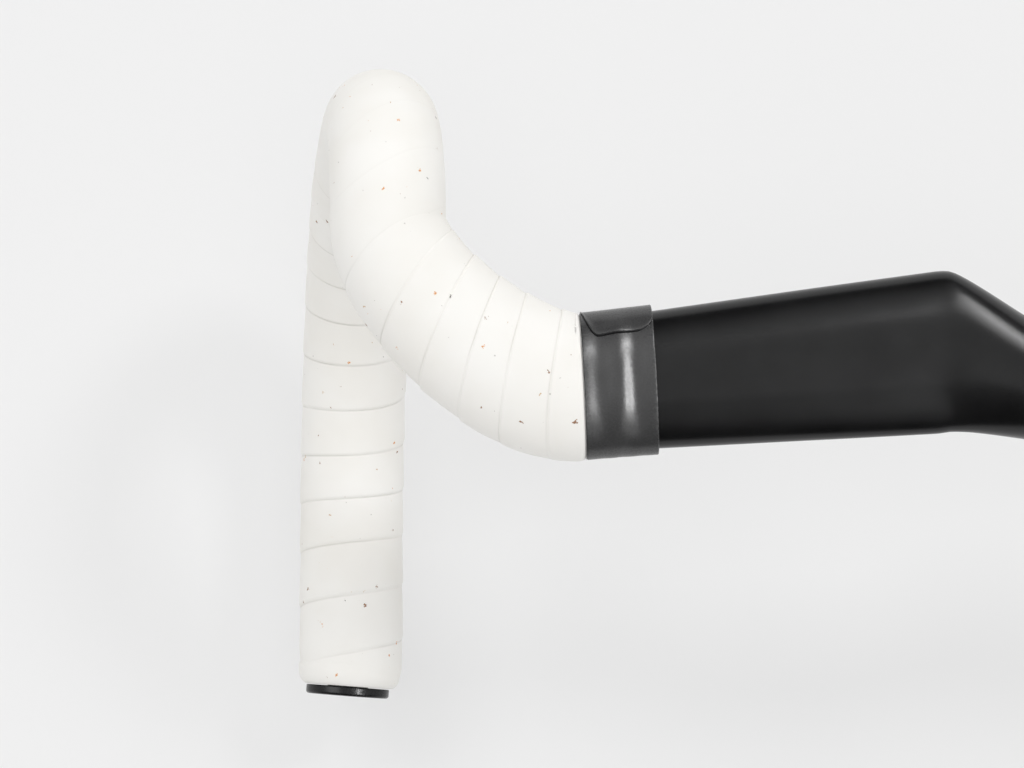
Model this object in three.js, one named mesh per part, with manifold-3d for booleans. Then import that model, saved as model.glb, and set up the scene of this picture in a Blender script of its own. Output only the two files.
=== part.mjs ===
// Drop handlebar wound with cork tape on both sides, at real size in millimetres.
// X runs along the bar toward the rider's right, Y points forward and Z up.
// The origin is the middle of the round seat that the stem clamps.
import * as THREE from 'three';
import { mergeVertices } from 'three/addons/utils/BufferGeometryUtils.js';
import Module from 'manifold-3d';

const wasm = await Module();
wasm.setup();

// Stem seat and the neck beside it
const clampDiameter = 31.8;
const clampHalfWidth = 22;
const neckFromClamp = 10;
const neckThickness = 28;

// Wing-shaped top, each side of the middle
const wingRootOutboard = 51.5;
const wingRootForward = 9.5;
const wingRootChord = 42.1;
const wingRootThickness = 21;
const wingRootNose = 0.14;
const wingRootRounding = 3.5;
const wingTipForward = 0.3;
const wingTipChord = 33.6;
const wingTipThickness = 22.4;
const wingTipNose = 0.06;
const neckLead = 5;
const wingSquaring = 45;

// Shoulder, ramp, hook and drop of the round grip tube
const gripDiameter = 23.8;
const barWall = 2;
const hoodWidth = 390;
const dropFlare = 15.5;
const shoulderRun = 49.2;
const shoulderLead = 15;
const rampLead = 18.6;
const reach = 72.3;
const dropDepth = 124;
const hookTopRadius = 28.5;
const hookFullness = 0.57;
const dropStraight = 42.8;
const barEndBack = 77;

// Cork tape, measured as it lies: two layers deep along the grip
const tapeDepth = 2.75;
const tapeDepthBesideBand = 2;
const tapeDepthUnderBand = 1;
const tapeDepthAtCut = 0.7;
const tapeSwell = 18;
const tapeShoulder = 0.8;
const wrapPitch = 14.8;
const wrapStep = 0.45;
const wrapStepAtHook = 0.2;
const wrapFade = 7;
const tapeOverEnd = 1.4;
const tapeEndRounding = 1.3;
const tapeTuckDepth = 13;

// Finishing tape, a thin band over the cut end of the cork tape
const bandWidth = 18.2;
const bandInset = 1;
const bandPastCut = 1.6;
const bandThickness = 0.5;
const bandLayer = 0.35;
const bandEdgeDrop = 0.3;
const bandFlapAngle = 45;
const bandFlapSpan = 1.5;

// Expanding plug in each bar end
const plugTilt = 4.5;
const plugPivotDepth = 10;
const capDiameter = 24.4;
const capThickness = 2.6;
const capBevel = 0.9;
const capHubDiameter = 12;
const capHubLength = 2;
const headRecessDepth = 2.1;
const sleeveDiameter = 15.4;
const sleeveLength = 14;
const sleeveBore = 6.4;
const sleeveMouth = 12;
const sleeveFlareLength = 7.3;
const wedgeEntry = 5;
const wedgeTail = 2.2;
const wedgeBore = 5.6;
const screwDiameter = 5;
const screwLength = 21;
const screwHeadDiameter = 9;
const screwHeadHeight = 1.6;
const screwHoleClearance = 0.4;
const hexKey = 3;
const hexDepth = 1.2;

// Clearance between pieces that touch
const seatGap = 0.3;

// Fineness of the faceting
const sides = 20;
const plugSides = 20;
const wrapRows = [0, 0.5, 1];
const wrapRowRise = [1, 0.7, 0];
const stationCounts = { clamp: 1, neck: 6, wing: 5, shoulder: 10, hookTop: 7, hook: 15, drop: 3 };
const boreStationStep = 2;
const frameSpacing = 1;

const hoodOutboard = hoodWidth / 2;
const quarterArc = (4 / 3) * (Math.SQRT2 - 1);
const fullTurn = 2 * Math.PI;
const rightward = new THREE.Vector3(1, 0, 0);
const forward = new THREE.Vector3(0, 1, 0);

const vec = (x, y, z) => new THREE.Vector3(x, y, z);
const radians = THREE.MathUtils.degToRad;
const { lerp, smoothstep } = THREE.MathUtils;

// Centreline of the right half, from the middle of the bar to its end

/** A point of the hook, which flares outward in proportion to its depth below the tops. */
function hookPoint(y, z) {
  return vec(hoodOutboard - dropFlare * (z / dropDepth), y, z);
}

/** The named curves of the half centreline, in order from the stem seat to the bar end. */
function centrelinePieces() {
  const clampEdge = vec(clampHalfWidth, 0, 0);
  const wingRoot = vec(wingRootOutboard, wingRootForward, 0);
  const wingTip = vec(hoodOutboard - shoulderRun, wingTipForward, 0);
  const wingLine = wingTip.clone().sub(wingRoot).normalize();
  const rampEnd = hookPoint(reach - hookTopRadius, 0);
  const hookFront = hookPoint(reach, -hookTopRadius);
  const straightStart = hookPoint(dropStraight - barEndBack, -dropDepth);
  const topArm = hookTopRadius * quarterArc;
  const hookArmDown = (dropDepth - hookTopRadius) * hookFullness;
  const hookArmBack = (reach - straightStart.y) * hookFullness;
  return {
    clamp: new THREE.LineCurve3(vec(0, 0, 0), clampEdge),
    neck: new THREE.CubicBezierCurve3(
      clampEdge, clampEdge.clone().addScaledVector(rightward, neckLead),
      wingRoot.clone().addScaledVector(wingLine, -neckLead), wingRoot),
    wing: new THREE.LineCurve3(wingRoot, wingTip),
    shoulder: new THREE.CubicBezierCurve3(
      wingTip, wingTip.clone().addScaledVector(wingLine, shoulderLead),
      rampEnd.clone().addScaledVector(forward, -rampLead), rampEnd),
    hookTop: new THREE.CubicBezierCurve3(
      rampEnd, hookPoint(rampEnd.y + topArm, 0), hookPoint(reach, topArm - hookTopRadius), hookFront),
    hook: new THREE.CubicBezierCurve3(
      hookFront, hookPoint(reach, -hookTopRadius - hookArmDown),
      hookPoint(straightStart.y + hookArmBack, -dropDepth), straightStart),
    drop: new THREE.LineCurve3(straightStart, hookPoint(-barEndBack, -dropDepth)),
  };
}

const pieces = centrelinePieces();
const route = new THREE.CurvePath();
const startOf = {};
const stations = [0];
for (const [name, curve] of Object.entries(pieces)) {
  const start = stations.at(-1);
  startOf[name] = start;
  for (let i = 1; i <= stationCounts[name]; i += 1) {
    stations.push(start + (curve.getLength() * i) / stationCounts[name]);
  }
  route.add(curve);
}
const routeLength = stations.at(-1);

/** Section frames along the route: the chord axis points forward on the tops and inboard past them. */
function makeFrames() {
  const count = Math.ceil(routeLength / frameSpacing);
  const frames = [];
  let chord = forward.clone();
  for (let i = 0; i <= count; i += 1) {
    const at = (routeLength * i) / count;
    const centre = route.getPoint(i / count);
    const along = route.getTangent(i / count);
    const squared = smoothstep(at, startOf.wing, startOf.wing + wingSquaring);
    const normal = rightward.clone().lerp(along, squared).normalize();
    chord = chord.clone().addScaledVector(normal, -chord.dot(normal)).normalize();
    frames.push({ centre, normal, chord, up: normal.clone().cross(chord) });
  }
  return frames;
}

const frames = makeFrames();

/** The section frame at a distance along the route, between the two nearest stored ones. */
function frameAt(at) {
  const place = THREE.MathUtils.clamp(at / routeLength, 0, 1) * (frames.length - 1);
  const low = Math.min(Math.floor(place), frames.length - 2);
  const blend = (key) => frames[low][key].clone().lerp(frames[low + 1][key], place - low);
  return {
    centre: blend('centre'),
    normal: blend('normal').normalize(),
    chord: blend('chord').normalize(),
    up: blend('up').normalize(),
  };
}

// Cross-sections of the bar, with the distance along the route where each holds
const roundClamp = { chord: clampDiameter, thickness: clampDiameter, nose: 0 };
const roundGrip = { chord: gripDiameter, thickness: gripDiameter, nose: 0 };
const sections = [
  { at: 0, ...roundClamp },
  { at: clampHalfWidth, ...roundClamp, eased: true },
  { at: clampHalfWidth + neckFromClamp, chord: clampDiameter, thickness: neckThickness, nose: 0 },
  { at: startOf.wing, chord: wingRootChord, thickness: wingRootThickness, nose: wingRootNose },
  { at: startOf.shoulder, chord: wingTipChord, thickness: wingTipThickness, nose: wingTipNose },
  { at: startOf.hookTop, ...roundGrip },
  { at: routeLength, ...roundGrip },
];

/** Half chord, half thickness and nose fullness of the bar at a distance, between the sections. */
function plainSectionAt(at) {
  const next = Math.max(1, sections.findIndex((section) => section.at >= at));
  const from = sections[next - 1];
  const to = sections[next];
  const share = (at - from.at) / (to.at - from.at);
  const blend = from.eased ? smoothstep(share, 0, 1) : share;
  return {
    halfChord: lerp(from.chord, to.chord, blend) / 2,
    halfThickness: lerp(from.thickness, to.thickness, blend) / 2,
    nose: lerp(from.nose, to.nose, blend),
  };
}

/** The bar's section at a distance along the route, with the corner at the wing's root rounded off. */
function sectionAt(at) {
  const share = (at - startOf.wing + wingRootRounding) / (2 * wingRootRounding);
  if (share <= 0 || share >= 1) return plainSectionAt(at);
  const [before, corner, after] = [-wingRootRounding, 0, wingRootRounding]
    .map((offset) => plainSectionAt(startOf.wing + offset));
  const rounded = (key) => {
    const first = lerp(before[key], corner[key], share);
    const second = lerp(corner[key], after[key], share);
    return lerp(first, second, share);
  };
  return {
    halfChord: rounded('halfChord'),
    halfThickness: rounded('halfThickness'),
    nose: rounded('nose'),
  };
}

/** A point at an angle round the bar, lifted off its outer surface by an offset (inward if negative). */
function surfacePoint(at, angle, offset, past = 0) {
  const { centre, normal, chord, up } = frameAt(at);
  const { halfChord, halfThickness, nose } = sectionAt(at);
  const along = (halfChord + offset) * Math.cos(angle);
  const above = (halfThickness + offset) * Math.sin(angle) * (1 + nose * Math.cos(angle));
  return centre.addScaledVector(chord, along).addScaledVector(up, above).addScaledVector(normal, past);
}

// Closed bodies from grids of points

/** Signed volume of an indexed geometry, negative where its faces point inward. */
function signedVolume({ index, attributes: { position } }) {
  const corners = [vec(), vec(), vec()];
  let sum = 0;
  for (let i = 0; i < index.count; i += 3) {
    corners.forEach((corner, k) => corner.fromBufferAttribute(position, index.getX(i + k)));
    sum += corners[0].dot(corners[1].clone().cross(corners[2])) / 6;
  }
  return sum;
}

/** Welds equal corners, drops the triangles that vanish and turns the faces outward. */
function closedBody(source) {
  const bare = new THREE.BufferGeometry();
  bare.setAttribute('position', source.attributes.position);
  bare.setIndex(source.index);
  const welded = mergeVertices(bare);
  const kept = [];
  for (let i = 0; i < welded.index.count; i += 3) {
    const [a, b, c] = [0, 1, 2].map((k) => welded.index.getX(i + k));
    if (a !== b && b !== c && c !== a) kept.push(a, b, c);
  }
  welded.setIndex(kept);
  if (signedVolume(welded) < 0) welded.setIndex(kept.reverse());
  return welded;
}

/**
 * A ring-shaped body from columns of points. Each column is a closed loop, and the columns go round.
 * Across the seam from the last column to the first, seamRow gives the row that each row meets.
 */
function ringBody(columns, seamRow = (row) => row) {
  const rows = columns[0].length;
  const indices = [];
  columns.forEach((_, column) => {
    const beside = (column + 1) % columns.length;
    const across = beside === 0 ? seamRow : (row) => row;
    for (let row = 0; row < rows; row += 1) {
      const next = (row + 1) % rows;
      const a = column * rows + row;
      const b = column * rows + next;
      const c = beside * rows + across(next);
      const d = beside * rows + across(row);
      indices.push(a, b, c, a, c, d);
    }
  });
  const geometry = new THREE.BufferGeometry().setFromPoints(columns.flat());
  geometry.setIndex(indices);
  return closedBody(geometry);
}

/** Angles of the columns round the bar. */
const columnAngles = Array.from({ length: sides }, (_, i) => (fullTurn * i) / sides);

const mirrored = (point) => vec(-point.x, point.y, point.z);

/** Puts a right-hand point on the wanted side of the bar. */
const onSide = (side, point) => (side === 'right' ? point : mirrored(point));

// The bar itself, one hollow piece open at both ends

function handlebar() {
  const boreStations = stations.filter((_, i) => i % boreStationStep === 0 || i === stations.length - 1);
  const halfColumn = (list, angle, offset) => list.map((at) => surfacePoint(at, angle, offset));
  const columns = columnAngles.map((angle) => {
    const outside = halfColumn(stations, angle, 0);
    const bore = halfColumn(boreStations, angle, -barWall);
    const outsideLeft = outside.slice(1).reverse().map(mirrored);
    const boreLeft = bore.slice(1).map(mirrored);
    return [...outsideLeft, ...outside, ...bore.reverse(), ...boreLeft];
  });
  return ringBody(columns);
}

// Places along the route that the tape and its finishing band share
const bandOuterEdge = startOf.shoulder - bandInset;
const bandInnerEdge = bandOuterEdge - bandWidth;
const tapeCut = bandInnerEdge + bandPastCut;
const wrapStart = bandOuterEdge + seatGap + tapeShoulder;
const wrapLength = routeLength - wrapStart;
const wrapTurns = Math.round((2 * wrapLength) / wrapPitch) / 2;
const wrapColumnTurns = Math.ceil(wrapTurns);
const fittedPitch = wrapLength / wrapTurns;

// Lift of the tape's outer surface off the bar, at the places where the band covers it
const liftUnderBand = seatGap + tapeDepthUnderBand;
const liftAtCut = seatGap + tapeDepthAtCut;

/** Lift of the tape's outer surface off the bar, with rise 1 on a turn's raised edge and 0 below it. */
function wrapLift(at, rise) {
  const depth = lerp(tapeDepthBesideBand, tapeDepth, smoothstep(at, wrapStart, wrapStart + tapeSwell));
  const intoHook = smoothstep(at, startOf.hookTop - wrapPitch, startOf.hookTop + wrapPitch);
  const outOfHook = smoothstep(at, startOf.hook + wrapPitch, startOf.hook + 3 * wrapPitch);
  const step = lerp(wrapStep, wrapStepAtHook, intoHook - outOfHook);
  const fade = smoothstep(at, wrapStart, wrapStart + wrapFade) * smoothstep(routeLength - at, 0, wrapFade);
  return seatGap + depth + rise * step * fade;
}

/** The tilted seat of the plug in the right bar end: its origin, outward axis and two cross axes. */
function plugSeat() {
  const { centre, normal, chord, up } = frameAt(routeLength);
  const tilt = radians(plugTilt);
  const outward = normal.clone().multiplyScalar(Math.cos(tilt)).addScaledVector(chord, -Math.sin(tilt));
  const across = chord.clone().multiplyScalar(Math.cos(tilt)).addScaledVector(normal, Math.sin(tilt));
  const origin = centre.addScaledVector(normal, -plugPivotDepth)
    .addScaledVector(outward, plugPivotDepth + tapeOverEnd + 2 * seatGap);
  return { origin, outward, across, up };
}

const seat = plugSeat();

/** A point round the plug's own axis, at a radius and a height outward from the cap's inner face. */
function seatPoint(radius, angle, height) {
  return seat.origin.clone()
    .addScaledVector(seat.across, radius * Math.cos(angle))
    .addScaledVector(seat.up, radius * Math.sin(angle))
    .addScaledVector(seat.outward, height);
}

// Cork tape of one side: wound along the bar, folded over its end and tucked inside under the plug

/** The wound outer surface at one angle, as rows from the bar end to the finishing band. */
function wrapColumn(angle) {
  const column = [];
  for (let turn = -1; turn <= wrapColumnTurns; turn += 1) {
    wrapRows.forEach((part, row) => {
      const wound = fittedPitch * (turn + part + angle / fullTurn);
      const at = routeLength - THREE.MathUtils.clamp(wound, 0, wrapLength);
      column.push(surfacePoint(at, angle, wrapLift(at, wrapRowRise[row])));
    });
  }
  return column;
}

function barTape(side) {
  const gripRadius = gripDiameter / 2;
  const tuckRadius = sleeveDiameter / 2 + seatGap;
  const rimRadius = gripRadius + seatGap + tapeDepth;
  const innerStations = stations.filter((at) => at > tapeCut && at < routeLength);
  const wrapRowCount = (wrapColumnTurns + 2) * wrapRows.length;
  const columns = columnAngles.map((angle) => {
    const corner = seatPoint(rimRadius - tapeEndRounding / 3, angle, -seatGap - tapeEndRounding / 3);
    return [
      ...wrapColumn(angle),
      surfacePoint(bandOuterEdge + seatGap, angle, liftUnderBand),
      surfacePoint(tapeCut, angle, liftAtCut),
      ...[tapeCut, ...innerStations].map((at) => surfacePoint(at, angle, seatGap)),
      surfacePoint(routeLength, angle, seatGap, seatGap),
      surfacePoint(routeLength, angle, -barWall - seatGap, seatGap),
      surfacePoint(routeLength - tapeTuckDepth, angle, -barWall - seatGap),
      seatPoint(tuckRadius, angle, -tapeTuckDepth - tapeOverEnd - seatGap),
      seatPoint(tuckRadius, angle, -seatGap),
      seatPoint(rimRadius - tapeEndRounding, angle, -seatGap),
      corner,
    ].map((point) => onSide(side, point));
  });
  const lastWrapRow = wrapRowCount - 1;
  const seamRow = (row) => (row > lastWrapRow ? row : Math.min(row + wrapRows.length, lastWrapRow));
  return ringBody(columns, seamRow);
}

// Finishing tape of one side, with the step where its last layer ends
function finishingTape(side) {
  const flap = radians(bandFlapAngle);
  const pastFlap = flap + radians(bandFlapSpan);
  const angles = [...columnAngles, flap, pastFlap].sort((a, b) => a - b);
  const lift = (base, angle) => {
    const wound = angle < pastFlap ? angle + fullTurn - pastFlap : angle - pastFlap;
    return base + bandThickness + (bandLayer * wound) / fullTurn;
  };
  const innerAtOuterEdge = liftUnderBand + seatGap;
  const innerAtCut = liftAtCut + seatGap;
  const columns = angles.map((angle) => [
    surfacePoint(bandOuterEdge, angle, innerAtOuterEdge),
    surfacePoint(tapeCut - seatGap, angle, innerAtCut),
    surfacePoint(tapeCut - seatGap, angle, seatGap),
    surfacePoint(bandInnerEdge, angle, seatGap),
    surfacePoint(bandInnerEdge, angle, lift(innerAtCut - bandEdgeDrop, angle)),
    surfacePoint(tapeCut, angle, lift(innerAtCut, angle)),
    surfacePoint(bandOuterEdge, angle, lift(innerAtOuterEdge, angle)),
  ].map((point) => onSide(side, point)));
  return ringBody(columns);
}

// Plug pieces, turned about their own Y axis with the cap's inner face at zero and Y pointing outward

/** A turned body from a closed profile of [radius, height] pairs, listed anticlockwise. */
function turned(profile) {
  const points = profile.map(([radius, height]) => new THREE.Vector2(radius, height));
  return closedBody(new THREE.LatheGeometry(points, plugSides));
}

const screwHole = screwDiameter / 2 + screwHoleClearance;
const recessFloor = capThickness - headRecessDepth;
const sleeveTop = -capHubLength - seatGap;
const sleeveEnd = sleeveTop - sleeveLength;
const flareStart = sleeveEnd + sleeveFlareLength;

function plugCap() {
  const rim = capDiameter / 2;
  const hub = capHubDiameter / 2;
  const recess = screwHeadDiameter / 2 + screwHoleClearance;
  return turned([
    [screwHole, -capHubLength],
    [hub, -capHubLength],
    [hub, 0],
    [rim - capBevel / 3, 0],
    [rim, capBevel / 3],
    [rim, capThickness - capBevel],
    [rim - capBevel, capThickness],
    [recess, capThickness],
    [recess, recessFloor],
    [screwHole, recessFloor],
    [screwHole, -capHubLength],
  ]);
}

function plugSleeve() {
  return turned([
    [sleeveMouth / 2, sleeveEnd],
    [sleeveDiameter / 2, sleeveEnd],
    [sleeveDiameter / 2, sleeveTop],
    [sleeveBore / 2, sleeveTop],
    [sleeveBore / 2, flareStart],
    [sleeveMouth / 2, sleeveEnd],
  ]);
}

/** The cone nut that the screw draws into the sleeve's flared mouth. */
function plugWedge() {
  const slope = (sleeveMouth - sleeveBore) / 2 / sleeveFlareLength;
  const sideGap = seatGap * Math.hypot(1, slope);
  const coneRadius = (height) => sleeveMouth / 2 + slope * (sleeveEnd - height) - sideGap;
  const entry = sleeveEnd + wedgeEntry;
  const tail = sleeveEnd - wedgeTail;
  return turned([
    [wedgeBore / 2, tail],
    [coneRadius(tail), tail],
    [coneRadius(entry), entry],
    [wedgeBore / 2, entry],
    [wedgeBore / 2, tail],
  ]);
}

/** A closed geometry as a solid that can be cut. */
function solid(geometry) {
  return new wasm.Manifold(new wasm.Mesh({
    numProp: 3,
    vertProperties: new Float32Array(geometry.attributes.position.array),
    triVerts: new Uint32Array(geometry.index.array),
  }));
}

/** The closed geometry of a cut solid. */
function geometryOf(cut) {
  const { vertProperties, triVerts } = cut.getMesh();
  const geometry = new THREE.BufferGeometry();
  geometry.setAttribute('position', new THREE.BufferAttribute(vertProperties, 3));
  geometry.setIndex(new THREE.BufferAttribute(triVerts, 1));
  return closedBody(geometry);
}

function plugScrew() {
  const underHead = recessFloor + seatGap;
  const headTop = underHead + screwHeadHeight;
  const blank = turned([
    [0, underHead - screwLength],
    [screwDiameter / 2, underHead - screwLength],
    [screwDiameter / 2, underHead],
    [screwHeadDiameter / 2, underHead],
    [screwHeadDiameter / 2, headTop],
    [0, headTop],
  ]);
  const cornerRadius = hexKey / 2 / Math.cos(Math.PI / 6);
  const prism = new THREE.CylinderGeometry(cornerRadius, cornerRadius, 2 * hexDepth, 6);
  prism.translate(0, headTop, 0);
  return geometryOf(solid(blank).subtract(solid(closedBody(prism))));
}

// Colours and surfaces

const blackShell = { color: 0x2a2b2d, roughness: 0.5, metalness: 0 };
const cork = { color: 0xf1efe8, roughness: 0.85, metalness: 0 };
const vinyl = { color: 0x3a3b3d, roughness: 0.4, metalness: 0 };
const blackPlastic = { color: 0x1c1c1e, roughness: 0.45, metalness: 0 };
const rubber = { color: 0x232323, roughness: 0.9, metalness: 0 };
const steel = { color: 0x8a8c90, roughness: 0.35, metalness: 1 };

function piece(name, geometry, look) {
  const mesh = new THREE.Mesh(geometry, new THREE.MeshStandardMaterial(look));
  mesh.name = name;
  return mesh;
}

/** The four pieces of one side's plug, in a group that stands them on their seat. */
function plug(side) {
  const group = new THREE.Group();
  group.position.copy(onSide(side, seat.origin));
  group.quaternion.setFromUnitVectors(forward, onSide(side, seat.outward));
  group.add(
    piece(`plug_cap_${side}`, plugCap(), blackPlastic),
    piece(`plug_sleeve_${side}`, plugSleeve(), rubber),
    piece(`plug_wedge_${side}`, plugWedge(), blackPlastic),
    piece(`plug_screw_${side}`, plugScrew(), steel),
  );
  return group;
}

const assembly = new THREE.Group();
assembly.add(piece('handlebar', handlebar(), blackShell));
for (const side of ['left', 'right']) {
  assembly.add(piece(`bar_tape_${side}`, barTape(side), cork));
  assembly.add(piece(`finishing_tape_${side}`, finishingTape(side), vinyl));
  assembly.add(plug(side));
}

export default assembly;
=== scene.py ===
"""Finished looks of a taped drop handlebar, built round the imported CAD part.

Sizes are in millimetres, as in the part's own source, and every mesh is made in metres.
The right half is worked out along the bar's route, and the left half mirrors it.
"""

import functools
import logging
import math
from dataclasses import dataclass, field
from enum import Enum

import bmesh
import bpy
import numpy as np
from mathutils import Matrix


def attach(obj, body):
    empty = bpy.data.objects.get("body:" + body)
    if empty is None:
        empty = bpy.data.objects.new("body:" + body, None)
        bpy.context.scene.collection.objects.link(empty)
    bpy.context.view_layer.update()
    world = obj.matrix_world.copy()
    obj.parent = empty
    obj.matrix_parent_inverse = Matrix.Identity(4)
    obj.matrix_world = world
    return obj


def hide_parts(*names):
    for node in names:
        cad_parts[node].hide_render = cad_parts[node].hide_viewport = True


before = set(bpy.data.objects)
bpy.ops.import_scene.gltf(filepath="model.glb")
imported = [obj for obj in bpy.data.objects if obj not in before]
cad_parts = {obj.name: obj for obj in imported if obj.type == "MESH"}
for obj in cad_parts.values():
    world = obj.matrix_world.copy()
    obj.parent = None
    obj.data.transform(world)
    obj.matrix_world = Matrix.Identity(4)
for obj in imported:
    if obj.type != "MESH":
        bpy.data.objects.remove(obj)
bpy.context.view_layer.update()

MM = 0.001
FULL_TURN = 2.0 * math.pi
# Arm of a Bezier curve that draws a quarter of a circle of radius 1
QUARTER_ARC = 4.0 / 3.0 * (math.sqrt(2.0) - 1.0)
RIGHTWARD = np.array([1.0, 0.0, 0.0])
FORWARD = np.array([0.0, 1.0, 0.0])
# Distances in metres within which points are welded and slivers dropped
WELD = 1e-6
SLIVER = 1e-7
# An edge angle in degrees that no edge passes, so that all stay smooth
SMOOTH = 180.0
# Most values of a noise lie between these
NOISE_LOW = 0.3
NOISE_HIGH = 0.7
WHITE = (1.0, 1.0, 1.0, 1.0)
# Where lamps aim, in metres
ON_GRIP = (-0.17, 0.0, 0.0)
ON_NECK = (-0.04, 0.0, 0.0)
log = logging.getLogger("handlebar")


class Side(Enum):
    """The two halves of the bar, each with the sign of its X."""

    LEFT = -1
    RIGHT = 1

    @property
    def label(self) -> str:
        """The side's name as it ends the CAD nodes' names."""
        return self.name.lower()


# Shared sums


def smoothstep(value: np.ndarray, low: float, high: float) -> np.ndarray:
    """Eases from 0 at low to 1 at high.

    Args:
        value: Numbers of any shape.
        low: Where the result leaves 0.
        high: Where it reaches 1.

    Returns:
        Numbers from 0 to 1 in the same shape.
    """
    share = np.clip((np.asarray(value, float) - low) / (high - low), 0.0, 1.0)
    return share * share * (3.0 - 2.0 * share)


def mix(first: np.ndarray, second: np.ndarray, share: np.ndarray) -> np.ndarray:
    """Returns first at share 0, second at share 1 and a blend between."""
    return first + (second - first) * share


def column_angles(count: int) -> np.ndarray:
    """Returns the angles of evenly spread columns, each in a row of its own."""
    return (np.arange(count) * FULL_TURN / count)[:, None]


def unit(vectors: np.ndarray) -> np.ndarray:
    """Returns the vectors at length 1."""
    return vectors / np.linalg.norm(vectors, axis=-1, keepdims=True)


def curve_points(controls: list, count: int) -> np.ndarray:
    """Samples a straight line or a cubic Bezier curve.

    Args:
        controls: Two or four control points.
        count: Number of steps.

    Returns:
        The points in order, one more than count.
    """
    share = np.linspace(0.0, 1.0, count + 1)[:, None]
    if len(controls) == 2:
        return mix(controls[0], controls[1], share)
    first, second, third, last = controls
    rest = 1.0 - share
    return rest**3 * first + 3 * rest**2 * share * second + 3 * rest * share**2 * third + share**3 * last


def eased_through(places: np.ndarray, knots: tuple) -> np.ndarray:
    """Reads a smooth profile that levels out at each knot.

    Args:
        places: Where the profile is read.
        knots: Pairs of a place and the height there, in order.

    Returns:
        The heights at the places.
    """
    places = np.asarray(places, float)
    heights = np.full(places.shape, knots[0][1])
    for (start, _), (end, height) in zip(knots, knots[1:]):
        heights = mix(heights, height, smoothstep(places, start, end))
    return heights


# Route of the bar


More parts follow.
